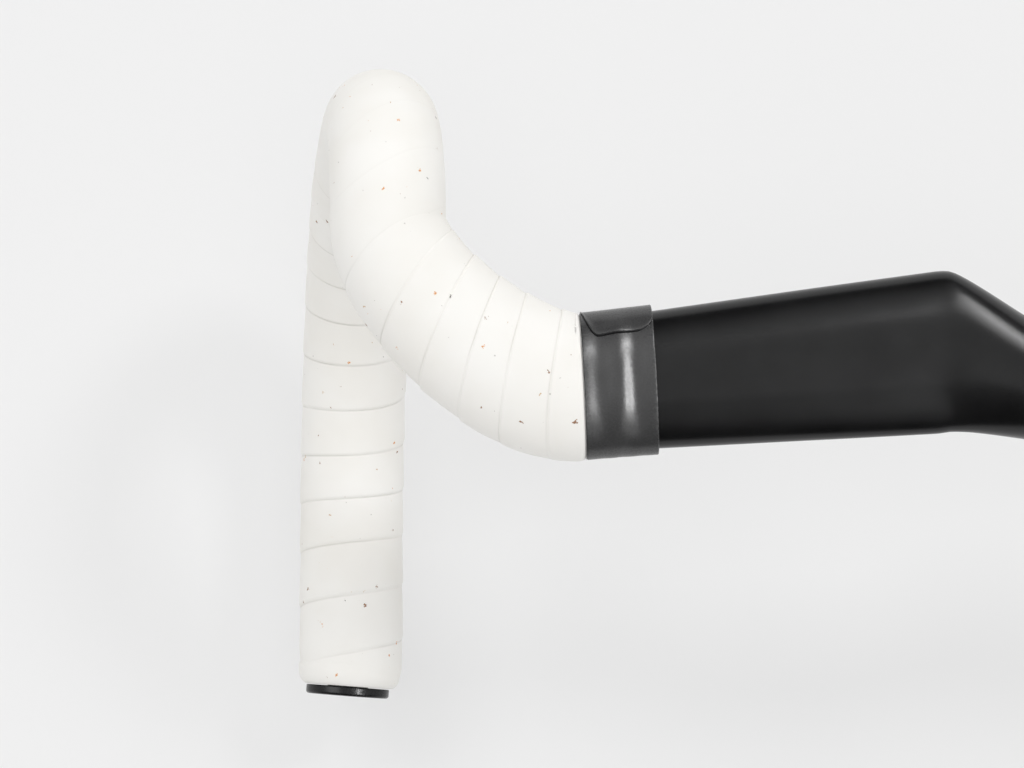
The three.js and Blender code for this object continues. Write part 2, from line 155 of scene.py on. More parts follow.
@dataclass
class BarRoute:
    """Centreline and cross-sections of the bar's right half, with the part's own driving sizes."""

    clamp_diameter: float = 31.8
    clamp_half_width: float = 22.0
    neck_from_clamp: float = 10.0
    neck_thickness: float = 28.0
    wing_root_outboard: float = 51.5
    wing_root_forward: float = 9.5
    wing_root_chord: float = 42.1
    wing_root_thickness: float = 21.0
    wing_root_nose: float = 0.14
    wing_root_rounding: float = 3.5
    wing_tip_forward: float = 0.3
    wing_tip_chord: float = 33.6
    wing_tip_thickness: float = 22.4
    wing_tip_nose: float = 0.06
    neck_lead: float = 5.0
    wing_squaring: float = 45.0
    grip_diameter: float = 23.8
    wall: float = 2.0
    hood_width: float = 390.0
    drop_flare: float = 15.5
    shoulder_run: float = 49.2
    shoulder_lead: float = 15.0
    ramp_lead: float = 18.6
    reach: float = 72.3
    drop_depth: float = 124.0
    hook_top_radius: float = 28.5
    hook_fullness: float = 0.57
    drop_straight: float = 42.8
    bar_end_back: float = 77.0
    samples: int = 400
    frame_spacing: float = 1.0
    starts: dict = field(default_factory=dict, init=False, repr=False)
    length: float = field(default=0.0, init=False)

    def __post_init__(self) -> None:
        """Lays out the centreline, the frames along it and the sections."""
        self._lay_centreline()
        self._lay_frames()
        self._lay_sections()

    def _hook_point(self, forward: float, height: float) -> np.ndarray:
        """A point of the hook, which flares outward in proportion to its depth below the tops."""
        outboard = self.hood_width / 2 - self.drop_flare * height / self.drop_depth
        return np.array([outboard, forward, height])

    def _curves(self) -> dict[str, list]:
        """Control points of the half centreline's curves, in order from the stem seat to the bar end.

        Returns:
            Two or four control points by each curve's name.
        """
        clamp_edge = np.array([self.clamp_half_width, 0.0, 0.0])
        wing_root = np.array([self.wing_root_outboard, self.wing_root_forward, 0.0])
        wing_tip = np.array([self.hood_width / 2 - self.shoulder_run, self.wing_tip_forward, 0.0])
        wing_line = unit(wing_tip - wing_root)
        ramp_end = self._hook_point(self.reach - self.hook_top_radius, 0.0)
        hook_front = self._hook_point(self.reach, -self.hook_top_radius)
        drop_start_back = self.drop_straight - self.bar_end_back
        straight_start = self._hook_point(drop_start_back, -self.drop_depth)
        top_arm = self.hook_top_radius * QUARTER_ARC
        arm_down = (self.drop_depth - self.hook_top_radius) * self.hook_fullness
        arm_back = (self.reach - drop_start_back) * self.hook_fullness
        return {
            "clamp": [np.zeros(3), clamp_edge],
            "neck": [
                clamp_edge,
                clamp_edge + self.neck_lead * RIGHTWARD,
                wing_root - self.neck_lead * wing_line,
                wing_root,
            ],
            "wing": [wing_root, wing_tip],
            "shoulder": [
                wing_tip,
                wing_tip + self.shoulder_lead * wing_line,
                ramp_end - self.ramp_lead * FORWARD,
                ramp_end,
            ],
            "hook_top": [
                ramp_end,
                self._hook_point(ramp_end[1] + top_arm, 0.0),
                self._hook_point(self.reach, top_arm - self.hook_top_radius),
                hook_front,
            ],
            "hook": [
                hook_front,
                self._hook_point(self.reach, -self.hook_top_radius - arm_down),
                self._hook_point(drop_start_back + arm_back, -self.drop_depth),
                straight_start,
            ],
            "drop": [straight_start, self._hook_point(-self.bar_end_back, -self.drop_depth)],
        }

    def _lay_centreline(self) -> None:
        """Stores the centreline's points, tangents and distances along it."""
        points = [np.zeros((1, 3))]
        distances = [np.zeros(1)]
        for name, controls in self._curves().items():
            line = curve_points(controls, self.samples)
            steps = np.linalg.norm(np.diff(line, axis=0), axis=1)
            self.starts[name] = self.length
            points.append(line[1:])
            distances.append(self.length + np.cumsum(steps))
            self.length = float(distances[-1][-1])
        self._distances = np.concatenate(distances)
        self._points = np.concatenate(points)
        self._tangents = unit(np.gradient(self._points, self._distances, axis=0))

    @staticmethod
    def _read(places: np.ndarray, at: np.ndarray, table: np.ndarray) -> np.ndarray:
        """Interpolates a table of vectors at distances along the route."""
        return np.stack([np.interp(at, places, table[:, axis]) for axis in range(3)], axis=-1)

    def _lay_frames(self) -> None:
        """Carries the chord axis along: it points forward on the tops and inboard past them."""
        self._frame_places = np.linspace(0.0, self.length, math.ceil(self.length / self.frame_spacing) + 1)
        tangents = unit(self._read(self._distances, self._frame_places, self._tangents))
        squaring_end = self.starts["wing"] + self.wing_squaring
        squared = smoothstep(self._frame_places, self.starts["wing"], squaring_end)[:, None]
        normals = unit(mix(RIGHTWARD, tangents, squared))
        chord = FORWARD
        chords = []
        for normal in normals:
            chord = unit(chord - chord.dot(normal) * normal)
            chords.append(chord)
        self._normals = normals
        self._chords = np.array(chords)
        self._ups = np.cross(normals, self._chords)

    def _lay_sections(self) -> None:
        """Stores the cross-sections with the distance along the route where each holds."""
        clamp = (self.clamp_diameter, self.clamp_diameter, 0.0)
        grip = (self.grip_diameter, self.grip_diameter, 0.0)
        neck = (self.clamp_diameter, self.neck_thickness, 0.0)
        root = (self.wing_root_chord, self.wing_root_thickness, self.wing_root_nose)
        tip = (self.wing_tip_chord, self.wing_tip_thickness, self.wing_tip_nose)
        neck_place = self.clamp_half_width + self.neck_from_clamp
        self._section_places = np.array([
            0.0,
            self.clamp_half_width,
            neck_place,
            self.starts["wing"],
            self.starts["shoulder"],
            self.starts["hook_top"],
            self.length,
        ])
        self._sections = np.array([clamp, clamp, neck, root, tip, grip, grip])
        self._eased = np.array([False, True, False, False, False, False])

    def _plain_section(self, at: np.ndarray) -> np.ndarray:
        """Chord, thickness and nose fullness between the sections, on a last axis of three.

        Args:
            at: Distances along the route.

        Returns:
            Three numbers for each distance.
        """
        last = len(self._section_places) - 2
        index = np.clip(np.searchsorted(self._section_places, at) - 1, 0, last)
        low = self._section_places[index]
        share = (at - low) / (self._section_places[index + 1] - low)
        share = np.where(self._eased[index], smoothstep(share, 0.0, 1.0), share)[..., None]
        return mix(self._sections[index], self._sections[index + 1], share)

    def section(self, at: np.ndarray) -> tuple[np.ndarray, np.ndarray, np.ndarray]:
        """Half chord, half thickness and nose fullness of the bar, with the wing root's corner rounded.

        Args:
            at: Distances along the route.

        Returns:
            Three arrays in the shape of at.
        """
        at = np.asarray(at, float)
        root = self.starts["wing"]
        reach = self.wing_root_rounding
        before, corner, after = self._plain_section(np.array([root - reach, root, root + reach]))
        share = ((at - root + reach) / (2 * reach))[..., None]
        rounded = mix(mix(before, corner, share), mix(corner, after, share), share)
        values = np.where((share > 0) & (share < 1), rounded, self._plain_section(at))
        return values[..., 0] / 2, values[..., 1] / 2, values[..., 2]

    def frames(self, at: np.ndarray) -> tuple[np.ndarray, ...]:
        """Centre, normal, chord axis and up axis of the section planes at distances along the route.

        Args:
            at: Distances along the route.

        Returns:
            Four arrays with a last axis of three.
        """
        places = self._frame_places
        axes = [unit(self._read(places, at, table)) for table in (self._normals, self._chords, self._ups)]
        return (self._read(self._distances, at, self._points), *axes)

    def surface(
        self, at: np.ndarray, angle: np.ndarray, lift: np.ndarray, past: np.ndarray = 0.0
    ) -> np.ndarray:
        """Points round the bar's right half.

        Args:
            at: Distances along the route.
            angle: Angles round the section from its chord axis.
            lift: Distance off the bar's outer surface, negative inside it.
            past: Distance along the section's normal.

        Returns:
            Points with a last axis of three, the other axes as the arguments broadcast.
        """
        given = (np.asarray(value, float) for value in (at, angle, lift, past))
        at, angle, lift, past = np.broadcast_arrays(*given)
        centre, normal, chord, up = self.frames(at)
        half_chord, half_thickness, nose = self.section(at)
        along = (half_chord + lift) * np.cos(angle)
        above = (half_thickness + lift) * np.sin(angle) * (1.0 + nose * np.cos(angle))
        return centre + along[..., None] * chord + above[..., None] * up + past[..., None] * normal


# Meshes


def ring_faces(columns: int, rows: int, seam_shift: int = 0, shifted_rows: int = 0) -> np.ndarray:
    """Quads of a ring-shaped body, in which each column is a closed loop and the columns go round.

    Args:
        columns: Number of columns.
        rows: Number of rows.
        seam_shift: How many rows further a row meets across the seam from the last column to the first.
        shifted_rows: Number of rows that are met so; the others meet their own row.

    Returns:
        An array of four indices a face.
    """
    row = np.arange(rows)
    shifted = np.where(row < shifted_rows, np.minimum(row + seam_shift, shifted_rows - 1), row)
    after = (row + 1) % rows
    quads = []
    for column in range(columns):
        beside = (column + 1) % columns
        met = shifted if beside == 0 else row
        here = column * rows
        there = beside * rows
        quads.append(np.stack([here + row, here + after, there + met[after], there + met], axis=1))
    return np.concatenate(quads)


def outward(points: np.ndarray, faces: np.ndarray) -> np.ndarray:
    """Turns a closed mesh's faces so that they point outward.

    Args:
        points: The mesh's points.
        faces: Its quads by index.

    Returns:
        The quads, turned round if they pointed inward.
    """
    a, b, c, d = (points[faces[:, corner]] for corner in range(4))
    volume = np.einsum("ij,ij->", a, np.cross(b, c)) + np.einsum("ij,ij->", a, np.cross(c, d))
    return faces if volume > 0 else faces[:, ::-1]


def make_piece(
    name: str, points: np.ndarray, faces: np.ndarray, side: Side = Side.RIGHT, marks: dict | None = None
) -> bpy.types.Object:
    """Makes a smooth closed object from points of the right half.

    Args:
        name: Name of the object.
        points: Points in millimetres, in columns of rows.
        faces: Quads by index.
        side: The half of the bar that it is for.
        marks: Numbers or vectors of each point, stored as attributes by their names.

    Returns:
        The object, with its place in its mesh.
    """
    flat = points.reshape(-1, 3) * np.array([side.value, 1.0, 1.0]) * MM
    mesh = bpy.data.meshes.new(name)
    mesh.from_pydata(flat.tolist(), [], outward(flat, faces).tolist())
    for mark, values in (marks or {}).items():
        vector = values.ndim == 3
        stored = mesh.attributes.new(mark, "FLOAT_VECTOR" if vector else "FLOAT", "POINT")
        if vector:
            values = values * np.array([side.value, 1.0, 1.0])
        stored.data.foreach_set("vector" if vector else "value", values.astype(np.float32).ravel())
    merge_doubles(mesh)
    made = bpy.data.objects.new(name, mesh)
    bpy.context.scene.collection.objects.link(made)
    return made


def merge_doubles(mesh: bpy.types.Mesh) -> None:
    """Welds points that lie together, which drops the faces between them, and shades the mesh smooth.

    Args:
        mesh: The mesh, which is changed itself.
    """
    work = bmesh.new()
    work.from_mesh(mesh)
    bmesh.ops.remove_doubles(work, verts=work.verts, dist=WELD)
    bmesh.ops.dissolve_degenerate(work, edges=work.edges, dist=SLIVER)
    work.to_mesh(mesh)
    work.free()
    mesh.shade_smooth()


def dress(
    piece: bpy.types.Object,
    material: bpy.types.Material,
    nodes: tuple[str, ...],
    sharp: float = SMOOTH,
) -> bpy.types.Object:
    """Gives a finished piece its material and its place in the frame.

    Args:
        piece: The object.
        material: Its finish.
        nodes: The CAD nodes that it stands for.
        sharp: Angle in degrees past which an edge stays sharp.

    Returns:
        The same object.
    """
    if not piece.data.materials:
        piece.data.materials.append(material)
    if sharp < SMOOTH:
        piece.data.set_sharp_from_angle(angle=math.radians(sharp))
    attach(piece, "root")
    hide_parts(*nodes)
    log.info("%s: %d faces, stands for %s", piece.name, len(piece.data.polygons), ", ".join(nodes))
    return piece


# Node trees


class Graph:
    """Adds nodes to a tree and joins them, so that a tree reads as its steps."""

    def __init__(self, tree: bpy.types.NodeTree) -> None:
        """Takes the tree that is filled."""
        self.tree = tree

    def feed(self, socket: bpy.types.NodeSocket, value: object) -> None:
        """Links another socket to this one, or sets this one's own value.

        Args:
            socket: The input that is fed.
            value: Another node's output, or a plain value.
        """
        if isinstance(value, bpy.types.NodeSocket):
            self.tree.links.new(value, socket)
        else:
            socket.default_value = value

    def node(self, kind: str, feeds: dict | None = None, **settings: object) -> bpy.types.Node:
        """Adds a node.

        Args:
            kind: Blender's name of the node type.
            feeds: Values or sockets for its inputs, by name or number.
            settings: Properties of the node.

        Returns:
            The node.
        """
        made = self.tree.nodes.new(kind)
        for name, value in settings.items():
            setattr(made, name, value)
        for name, value in (feeds or {}).items():
            self.feed(made.inputs[name], value)
        return made

    def math(self, operation: str, *values: object) -> bpy.types.NodeSocket:
        """Adds a sum of numbers and returns its result."""
        return self.node("ShaderNodeMath", dict(enumerate(values)), operation=operation).outputs[0]

    def vector(self, operation: str, *values: object) -> bpy.types.NodeSocket:
        """Adds a sum of vectors and returns its result."""
        return self.node("ShaderNodeVectorMath", dict(enumerate(values)), operation=operation).outputs[0]

    def scaled(self, vector: object, factor: object) -> bpy.types.NodeSocket:
        """Multiplies a vector by a number."""
        feeds = {"Vector": vector, "Scale": factor}
        return self.node("ShaderNodeVectorMath", feeds, operation="SCALE").outputs[0]

    def span(self, value: object, low: object, high: object, to_low: object = 0.0, to_high: object = 1.0,
             eased: bool = True) -> bpy.types.NodeSocket:
        """Maps one range of numbers to another, held at its ends.

        Args:
            value: The number.
            low: Where the result leaves to_low.
            high: Where it reaches to_high.
            to_low: Result at the low end.
            to_high: Result at the high end.
            eased: Whether it leaves and reaches its ends softly.

        Returns:
            The result's socket.
        """
        feeds = {"Value": value, "From Min": low, "From Max": high, "To Min": to_low, "To Max": to_high}
        how = "SMOOTHSTEP" if eased else "LINEAR"
        return self.node("ShaderNodeMapRange", feeds, interpolation_type=how).outputs["Result"]

    def blend(self, share: object, first: object, second: object, how: str = "MIX") -> bpy.types.NodeSocket:
        """Mixes two colours.

        Args:
            share: How much of the second one.
            first: The first colour.
            second: The second colour.
            how: Blender's name of the way they mix.

        Returns:
            The mixed colour's socket.
        """
        feeds = {"Factor": share, 6: first, 7: second}
        return self.node("ShaderNodeMix", feeds, data_type="RGBA", blend_type=how).outputs[2]


def open_group(name: str, inputs: dict, outputs: dict) -> tuple[Graph, bpy.types.Node, bpy.types.Node]:
    """Starts a shader node group.

    Args:
        name: Name of the group.
        inputs: Kind and default value of each input, by name.
        outputs: Kind of each output, by name.

    Returns:
        The graph, the node with the inputs and the node with the outputs.
    """
    tree = bpy.data.node_groups.new(name, "ShaderNodeTree")
    for label, (kind, value) in inputs.items():
        socket = tree.interface.new_socket(label, in_out="INPUT", socket_type=f"NodeSocket{kind}")
        if value is not None:
            socket.default_value = value
    for label, kind in outputs.items():
        tree.interface.new_socket(label, in_out="OUTPUT", socket_type=f"NodeSocket{kind}")
    graph = Graph(tree)
    return graph, graph.node("NodeGroupInput"), graph.node("NodeGroupOutput")


@functools.cache
def grain_group() -> bpy.types.NodeTree:
    """Fine grain of a moulded, rolled or foamed skin, with broad lumps under it.

    Returns:
        The group, which is built once.
    """
    graph, given, result = open_group(
        "Fine Grain",
        {"Vector": ("Vector", None), "Grain Scale": ("Float", 1500.0), "Lump Scale": ("Float", 120.0),
         "Lump Share": ("Float", 0.3)},
        {"Height": "Float", "Lumps": "Float"},
    )
    fine = graph.node(
        "ShaderNodeTexNoise",
        {"Vector": given.outputs["Vector"], "Scale": given.outputs["Grain Scale"], "Detail": 3.0,
         "Roughness": 0.6},
    ).outputs[0]
    broad = graph.node(
        "ShaderNodeTexNoise",
        {"Vector": given.outputs["Vector"], "Scale": given.outputs["Lump Scale"], "Detail": 2.0},
    ).outputs[0]
    share = given.outputs["Lump Share"]
    kept = graph.math("MULTIPLY", fine, graph.math("SUBTRACT", 1.0, share))
    graph.feed(result.inputs["Height"], graph.math("MULTIPLY_ADD", broad, share, kept))
    graph.feed(result.inputs["Lumps"], broad)
    return graph.tree


@functools.cache
def fleck_group() -> bpy.types.NodeTree:
    """Small irregular flecks scattered through a solid, each with its own random number.

    Returns:
        The group, which is built once.
    """
    graph, given, result = open_group(
        "Scattered Flecks",
        {"Vector": ("Vector", None), "Cells per Metre": ("Float", 217.0), "Radius": ("Float", 0.0004),
         "Smallest": ("Float", 0.45), "Largest": ("Float", 1.5), "Core": ("Float", 0.6),
         "Share": ("Float", 0.8), "Raggedness": ("Float", 0.00025), "Ragged Scale": ("Float", 1500.0)},
        {"Mask": "Float", "Random": "Float"},
    )
    scale = given.outputs["Cells per Metre"]
    noise = graph.node(
        "ShaderNodeTexNoise",
        {"Vector": given.outputs["Vector"], "Scale": given.outputs["Ragged Scale"], "Detail": 2.0},
    ).outputs["Color"]
    pushed = graph.scaled(graph.vector("SUBTRACT", noise, (0.5, 0.5, 0.5)), given.outputs["Raggedness"])
    place = graph.vector("ADD", given.outputs["Vector"], pushed)
    cells = graph.node("ShaderNodeTexVoronoi", {"Vector": place, "Scale": scale})
    parts = graph.node("ShaderNodeSeparateColor", {"Color": cells.outputs["Color"]})
    radius = graph.math("MULTIPLY", given.outputs["Radius"], scale)
    growth = graph.span(
        parts.outputs[0], 0.0, 1.0, given.outputs["Smallest"], given.outputs["Largest"], eased=False)
    size = graph.math("MULTIPLY", radius, growth)
    inner = graph.math("MULTIPLY", size, given.outputs["Core"])
    disc = graph.span(cells.outputs["Distance"], inner, size, 1.0, 0.0)
    there = graph.math("LESS_THAN", parts.outputs[2], given.outputs["Share"])
    graph.feed(result.inputs["Mask"], graph.math("MULTIPLY", disc, there))
    graph.feed(result.inputs["Random"], parts.outputs[1])
    return graph.tree


@functools.cache
def painted_crease_shade_group() -> bpy.types.NodeTree:
    """Paints shade into a colour where a lap or a loose end leaves a crease.

    Returns:
        The group, which is built once.
    """
    graph, given, result = open_group(
        "Painted Crease Shade",
        {"Color": ("Color", None), "Crease": ("Float", 0.0), "Tint": ("Color", (0.5, 0.45, 0.4, 1.0)),
         "Strength": ("Float", 1.0)},
        {"Color": "Color"},
    )
    share = graph.math("MULTIPLY", given.outputs["Crease"], given.outputs["Strength"])
    # Painted shade: the colour is multiplied darker along the crease mask
    crease_shaded = graph.blend(share, given.outputs["Color"], given.outputs["Tint"], "MULTIPLY")
    graph.feed(result.inputs["Color"], crease_shaded)
    return graph.tree


@dataclass(frozen=True)
class Grain:
    """A fine grain: grains and lumps a metre, the lumps' share, its depth in millimetres and strength."""

    grains: float
    lumps: float
    lump_share: float
    depth: float
    strength: float


@dataclass(frozen=True)
class Flecks:
    """Scattered flecks: cells a metre, radius and raggedness in millimetres, and share of cells filled."""

    cells: float
    radius: float
    raggedness: float
    share: float


class Finish:
    """A material under construction: its graph, its principled shader and its object coordinates."""

    def __init__(self, name: str) -> None:
        """Starts the material by its name.

        Args:
            name: Name of the material.
        """
        self.material = bpy.data.materials.new(name)
        self.material.use_nodes = True
        self.graph = Graph(self.material.node_tree)
        self.shader = self.material.node_tree.nodes["Principled BSDF"]
        self.place = self.graph.node("ShaderNodeTexCoord").outputs["Object"]

    def group(self, tree: bpy.types.NodeTree, feeds: dict) -> bpy.types.Node:
        """Places a node group with its values.

        Args:
            tree: The group.
            feeds: Values or sockets for its inputs, by name.

        Returns:
            The group's node.
        """
        made = self.graph.node("ShaderNodeGroup", node_tree=tree)
        for name, value in feeds.items():
            self.graph.feed(made.inputs[name], value)
        return made

    def set(self, **values: object) -> None:
        """Sets or links the shader's sockets, named with underscores for spaces."""
        for name, value in values.items():
            self.graph.feed(self.shader.inputs[name.replace("_", " ")], value)

    def grain(self, kind: Grain) -> bpy.types.Node:
        """Adds a fine grain with the bump that it gives.

        Args:
            kind: The grain's settings.

        Returns:
            The grain's node.
        """
        feeds = {"Vector": self.place, "Grain Scale": kind.grains, "Lump Scale": kind.lumps,
                 "Lump Share": kind.lump_share}
        grain = self.group(grain_group(), feeds)
        bump = self.graph.node(
            "ShaderNodeBump",
            {"Height": grain.outputs["Height"], "Distance": kind.depth * MM, "Strength": kind.strength},
        )
        self.set(Normal=bump.outputs[0])
        return grain

    def noise_span(self, value: object, low: object = 0.0, high: object = 1.0) -> bpy.types.NodeSocket:
        """Stretches the usual range of a noise to another range."""
        return self.graph.span(value, NOISE_LOW, NOISE_HIGH, low, high)

    def paint_crease_shade(self, colour: object, painted_shade: tuple, strength: float) -> bpy.types.NodeSocket:
        """Paints shade into a colour where the mesh's own mask marks a crease.

        Args:
            colour: The colour's socket.
            painted_shade: The shade colour that multiplies it in a full crease.
            strength: How far the painted shade goes there.

        Returns:
            The colour's socket, with the shade painted in.
        """
        crease = self.graph.node("ShaderNodeAttribute", attribute_name="crease").outputs["Fac"]
        feeds = {"Color": colour, "Crease": crease, "Tint": painted_shade, "Strength": strength}
        return self.group(painted_crease_shade_group(), feeds).outputs[0]

    def flecks(self, kind: Flecks) -> bpy.types.Node:
        """Adds scattered flecks.

        Args:
            kind: The flecks' settings.

        Returns:
            Their node.
        """
        feeds = {"Vector": self.place, "Cells per Metre": kind.cells, "Radius": kind.radius * MM,
                 "Share": kind.share, "Raggedness": kind.raggedness * MM}
        return self.group(fleck_group(), feeds)


def seen_directly(graph: Graph) -> bpy.types.NodeSocket:
    """1 for the rays of the camera, of reflections and of glass, 0 for those that only carry light.

    Args:
        graph: The graph of a material or of the world.

    Returns:
        The number's socket.
    """
    rays = graph.node("ShaderNodeLightPath").outputs
    seen = graph.math("MAXIMUM", rays["Is Camera Ray"], rays["Is Glossy Ray"])
    return graph.math("MAXIMUM", seen, rays["Is Transmission Ray"])


# Finishes


@dataclass(frozen=True)
class CorkFoam:
    """Off-white cork foam with small coloured flecks and fainter specks."""

    name: str = "Cork foam"
    light: tuple = (0.900, 0.888, 0.858, 1.0)
    warm: tuple = (0.868, 0.850, 0.808, 1.0)
    cloud_scale: float = 38.0
    grain: Grain = Grain(1900.0, 260.0, 0.45, 0.05, 0.35)
    rough: tuple = (0.78, 0.92)
    gloss: float = 0.22
    # Painted shade along each lap: the colour that multiplies the foam there, and how far it goes
    crease_tint: tuple = (0.60, 0.585, 0.56, 1.0)
    crease_shade_strength: float = 0.42
    flecks: Flecks = Flecks(225.0, 0.42, 1.9, 0.8)
    orange: tuple = (0.72, 0.36, 0.14, 1.0)
    ochre: tuple = (0.62, 0.44, 0.26, 1.0)
    brown: tuple = (0.30, 0.16, 0.09, 1.0)
    dark: tuple = (0.09, 0.075, 0.065, 1.0)
    ochre_from: float = 0.38
    brown_from: float = 0.58
    dark_from: float = 0.93
    specks: Flecks = Flecks(300.0, 0.2, 0.7, 0.38)
    speck: tuple = (0.52, 0.50, 0.47, 1.0)
    speck_strength: float = 0.75

    def _fleck_colour(self, graph: Graph, draw: bpy.types.NodeSocket) -> bpy.types.NodeSocket:
        """Picks a fleck's colour by its random number.

        Args:
            graph: The material's graph.
            draw: The flecks' random number.

        Returns:
            The colour's socket.
        """
        colours = graph.node("ShaderNodeValToRGB", {"Fac": draw})
        ramp = colours.color_ramp
        ramp.interpolation = "CONSTANT"
        ramp.elements[0].color = self.orange
        ramp.elements[1].color = self.dark
        ramp.elements[1].position = self.dark_from
        ramp.elements.new(self.ochre_from).color = self.ochre
        ramp.elements.new(self.brown_from).color = self.brown
        return colours.outputs[0]

    def material(self) -> bpy.types.Material:
        """Builds the material.

        Returns:
            The material.
        """
        finish = Finish(self.name)
        graph = finish.graph
        grain = finish.grain(self.grain)
        cloudy = graph.node(
            "ShaderNodeTexNoise", {"Vector": finish.place, "Scale": self.cloud_scale, "Detail": 3.0})
        tone = graph.blend(finish.noise_span(cloudy.outputs[0]), self.light, self.warm)
        speck_mask = finish.flecks(self.specks).outputs["Mask"]
        tone = graph.blend(graph.math("MULTIPLY", speck_mask, self.speck_strength), tone, self.speck)
        fleck = finish.flecks(self.flecks).outputs
        tone = graph.blend(fleck["Mask"], tone, self._fleck_colour(graph, fleck["Random"]))
        finish.set(
            Base_Color=finish.paint_crease_shade(tone, self.crease_tint, self.crease_shade_strength),
            Roughness=finish.noise_span(grain.outputs["Lumps"], *self.rough),
            Specular_IOR_Level=self.gloss,
        )
        return finish.material


@dataclass(frozen=True)
class PlainSkin:
    """A finish of two close tones with a fine grain, and with shade painted into its creases where a colour
    for it is given.
    """

    name: str
    light: tuple
    dark: tuple
    grain: Grain
    rough: tuple
    gloss: float = 0.5
    metallic: float = 0.0
    crease_tint: tuple | None = None

    def material(self) -> bpy.types.Material:
        """Builds the material.

        Returns:
            The material.
        """
        finish = Finish(self.name)
        grain = finish.grain(self.grain)
        colour = finish.graph.blend(finish.noise_span(grain.outputs["Lumps"]), self.dark, self.light)
        if self.crease_tint:
            colour = finish.paint_crease_shade(colour, self.crease_tint, 1.0)
        finish.set(
            Base_Color=colour,
            Roughness=finish.noise_span(grain.outputs["Height"], *self.rough),
            Specular_IOR_Level=self.gloss,
            Metallic=self.metallic,
        )
        return finish.material


SATIN_PAINT = PlainSkin(
    name="Satin black shell",
    light=(0.0056, 0.0057, 0.0060, 1.0),
    dark=(0.0034, 0.0034, 0.0037, 1.0),
    grain=Grain(2400.0, 90.0, 0.2, 0.004, 0.15),
    rough=(0.20, 0.26),
    gloss=0.31,
)
STRETCHED_VINYL = PlainSkin(
    name="Stretched vinyl",
    light=(0.042, 0.042, 0.0425, 1.0),
    dark=(0.036, 0.036, 0.0365, 1.0),
    grain=Grain(1300.0, 160.0, 0.35, 0.003, 0.1),
    rough=(0.26, 0.29),
    # Painted shadow, near black, in the gap under the band's loose end
    crease_tint=(0.01, 0.01, 0.01, 1.0),
)
MOULDED_PLASTIC = PlainSkin(
    name="Black plastic",
    light=(0.0050, 0.0050, 0.0054, 1.0),
    dark=(0.0030, 0.0030, 0.0033, 1.0),
    grain=Grain(1700.0, 200.0, 0.25, 0.01, 0.35),
    rough=(0.21, 0.33),
    gloss=0.3,
)
MOULDED_RUBBER = PlainSkin(
    name="Black rubber",
    light=(0.026, 0.026, 0.026, 1.0),
    dark=(0.016, 0.016, 0.016, 1.0),
    grain=Grain(1700.0, 200.0, 0.25, 0.04, 0.35),
    rough=(0.69, 0.81),
)
PLATED_STEEL = PlainSkin(
    name="Plated steel",
    light=(0.62, 0.62, 0.63, 1.0),
    dark=(0.46, 0.46, 0.47, 1.0),
    grain=Grain(5200.0, 420.0, 0.4, 0.012, 0.25),
    rough=(0.26, 0.42),
    metallic=1.0,
)


@dataclass(frozen=True)
class StudioPaper:
    """Plain pale paper of the floor, evened out by a faint glow where it is seen."""

    colour: tuple = (0.90, 0.90, 0.90, 1.0)
    shade: tuple = (0.885, 0.885, 0.887, 1.0)
    grain: Grain = Grain(600.0, 3.0, 0.2, 0.05, 0.1)
    rough: float = 0.95
    gloss: float = 0.1
    evenness: float = 0.50
    glow: float = 0.825

    def material(self) -> bpy.types.Material:
        """Builds the material.

        Returns:
            The material.
        """
        finish = Finish("Studio paper")
        graph = finish.graph
        lumps = finish.grain(self.grain).outputs["Lumps"]
        tone = graph.blend(finish.noise_span(lumps), self.colour, self.shade)
        finish.set(Base_Color=tone, Roughness=self.rough, Specular_IOR_Level=self.gloss)
        strength = self.glow / self.colour[0]
        even = graph.node("ShaderNodeEmission", {"Color": self.colour, "Strength": strength})
        shared = graph.math("MULTIPLY", seen_directly(graph), self.evenness)
        lit = finish.shader.outputs[0]
        both = graph.node("ShaderNodeMixShader", {0: shared, 1: lit, 2: even.outputs[0]})
        result = finish.material.node_tree.nodes["Material Output"]
        graph.feed(result.inputs["Surface"], both.outputs[0])
        return finish.material


# The bar itself


@dataclass
class BarShell:
    """The hollow bar, fine where it shows and plainer under the tape."""

    route: BarRoute
    covered_from: float
    columns: int = 88
    shown_step: float = 1.6
    covered_step: float = 4.0
    bore_step: float = 6.0

    def _stations(self) -> np.ndarray:
        """Distances along the route of the outer rows.

        Returns:
            The distances, closer together where the bar shows.
        """
        shown = np.linspace(0.0, self.covered_from, math.ceil(self.covered_from / self.shown_step) + 1)
        left = self.route.length - self.covered_from
        covered = np.linspace(self.covered_from, self.route.length, math.ceil(left / self.covered_step) + 1)
        return np.concatenate([shown, covered[1:]])

    def build(self, finish: bpy.types.Material) -> bpy.types.Object:
        """Makes the bar with both its halves and its bore.

        Args:
            finish: The bar's finish.

        Returns:
            The finished object.
        """
        angles = column_angles(self.columns)
        bore_count = math.ceil(self.route.length / self.bore_step) + 1
        outside = self.route.surface(self._stations()[None, :], angles, 0.0)
        inside = self.route.surface(
            np.linspace(0.0, self.route.length, bore_count)[None, :], angles, -self.route.wall)
        flip = np.array([-1.0, 1.0, 1.0])
        rows = np.concatenate(
            [outside[:, :0:-1] * flip, outside, inside[:, ::-1], inside[:, 1:] * flip], axis=1)
        piece = make_piece("bar_shell", rows, ring_faces(self.columns, rows.shape[1]))
        return dress(piece, finish, ("handlebar",), sharp=50.0)


# Finishing band


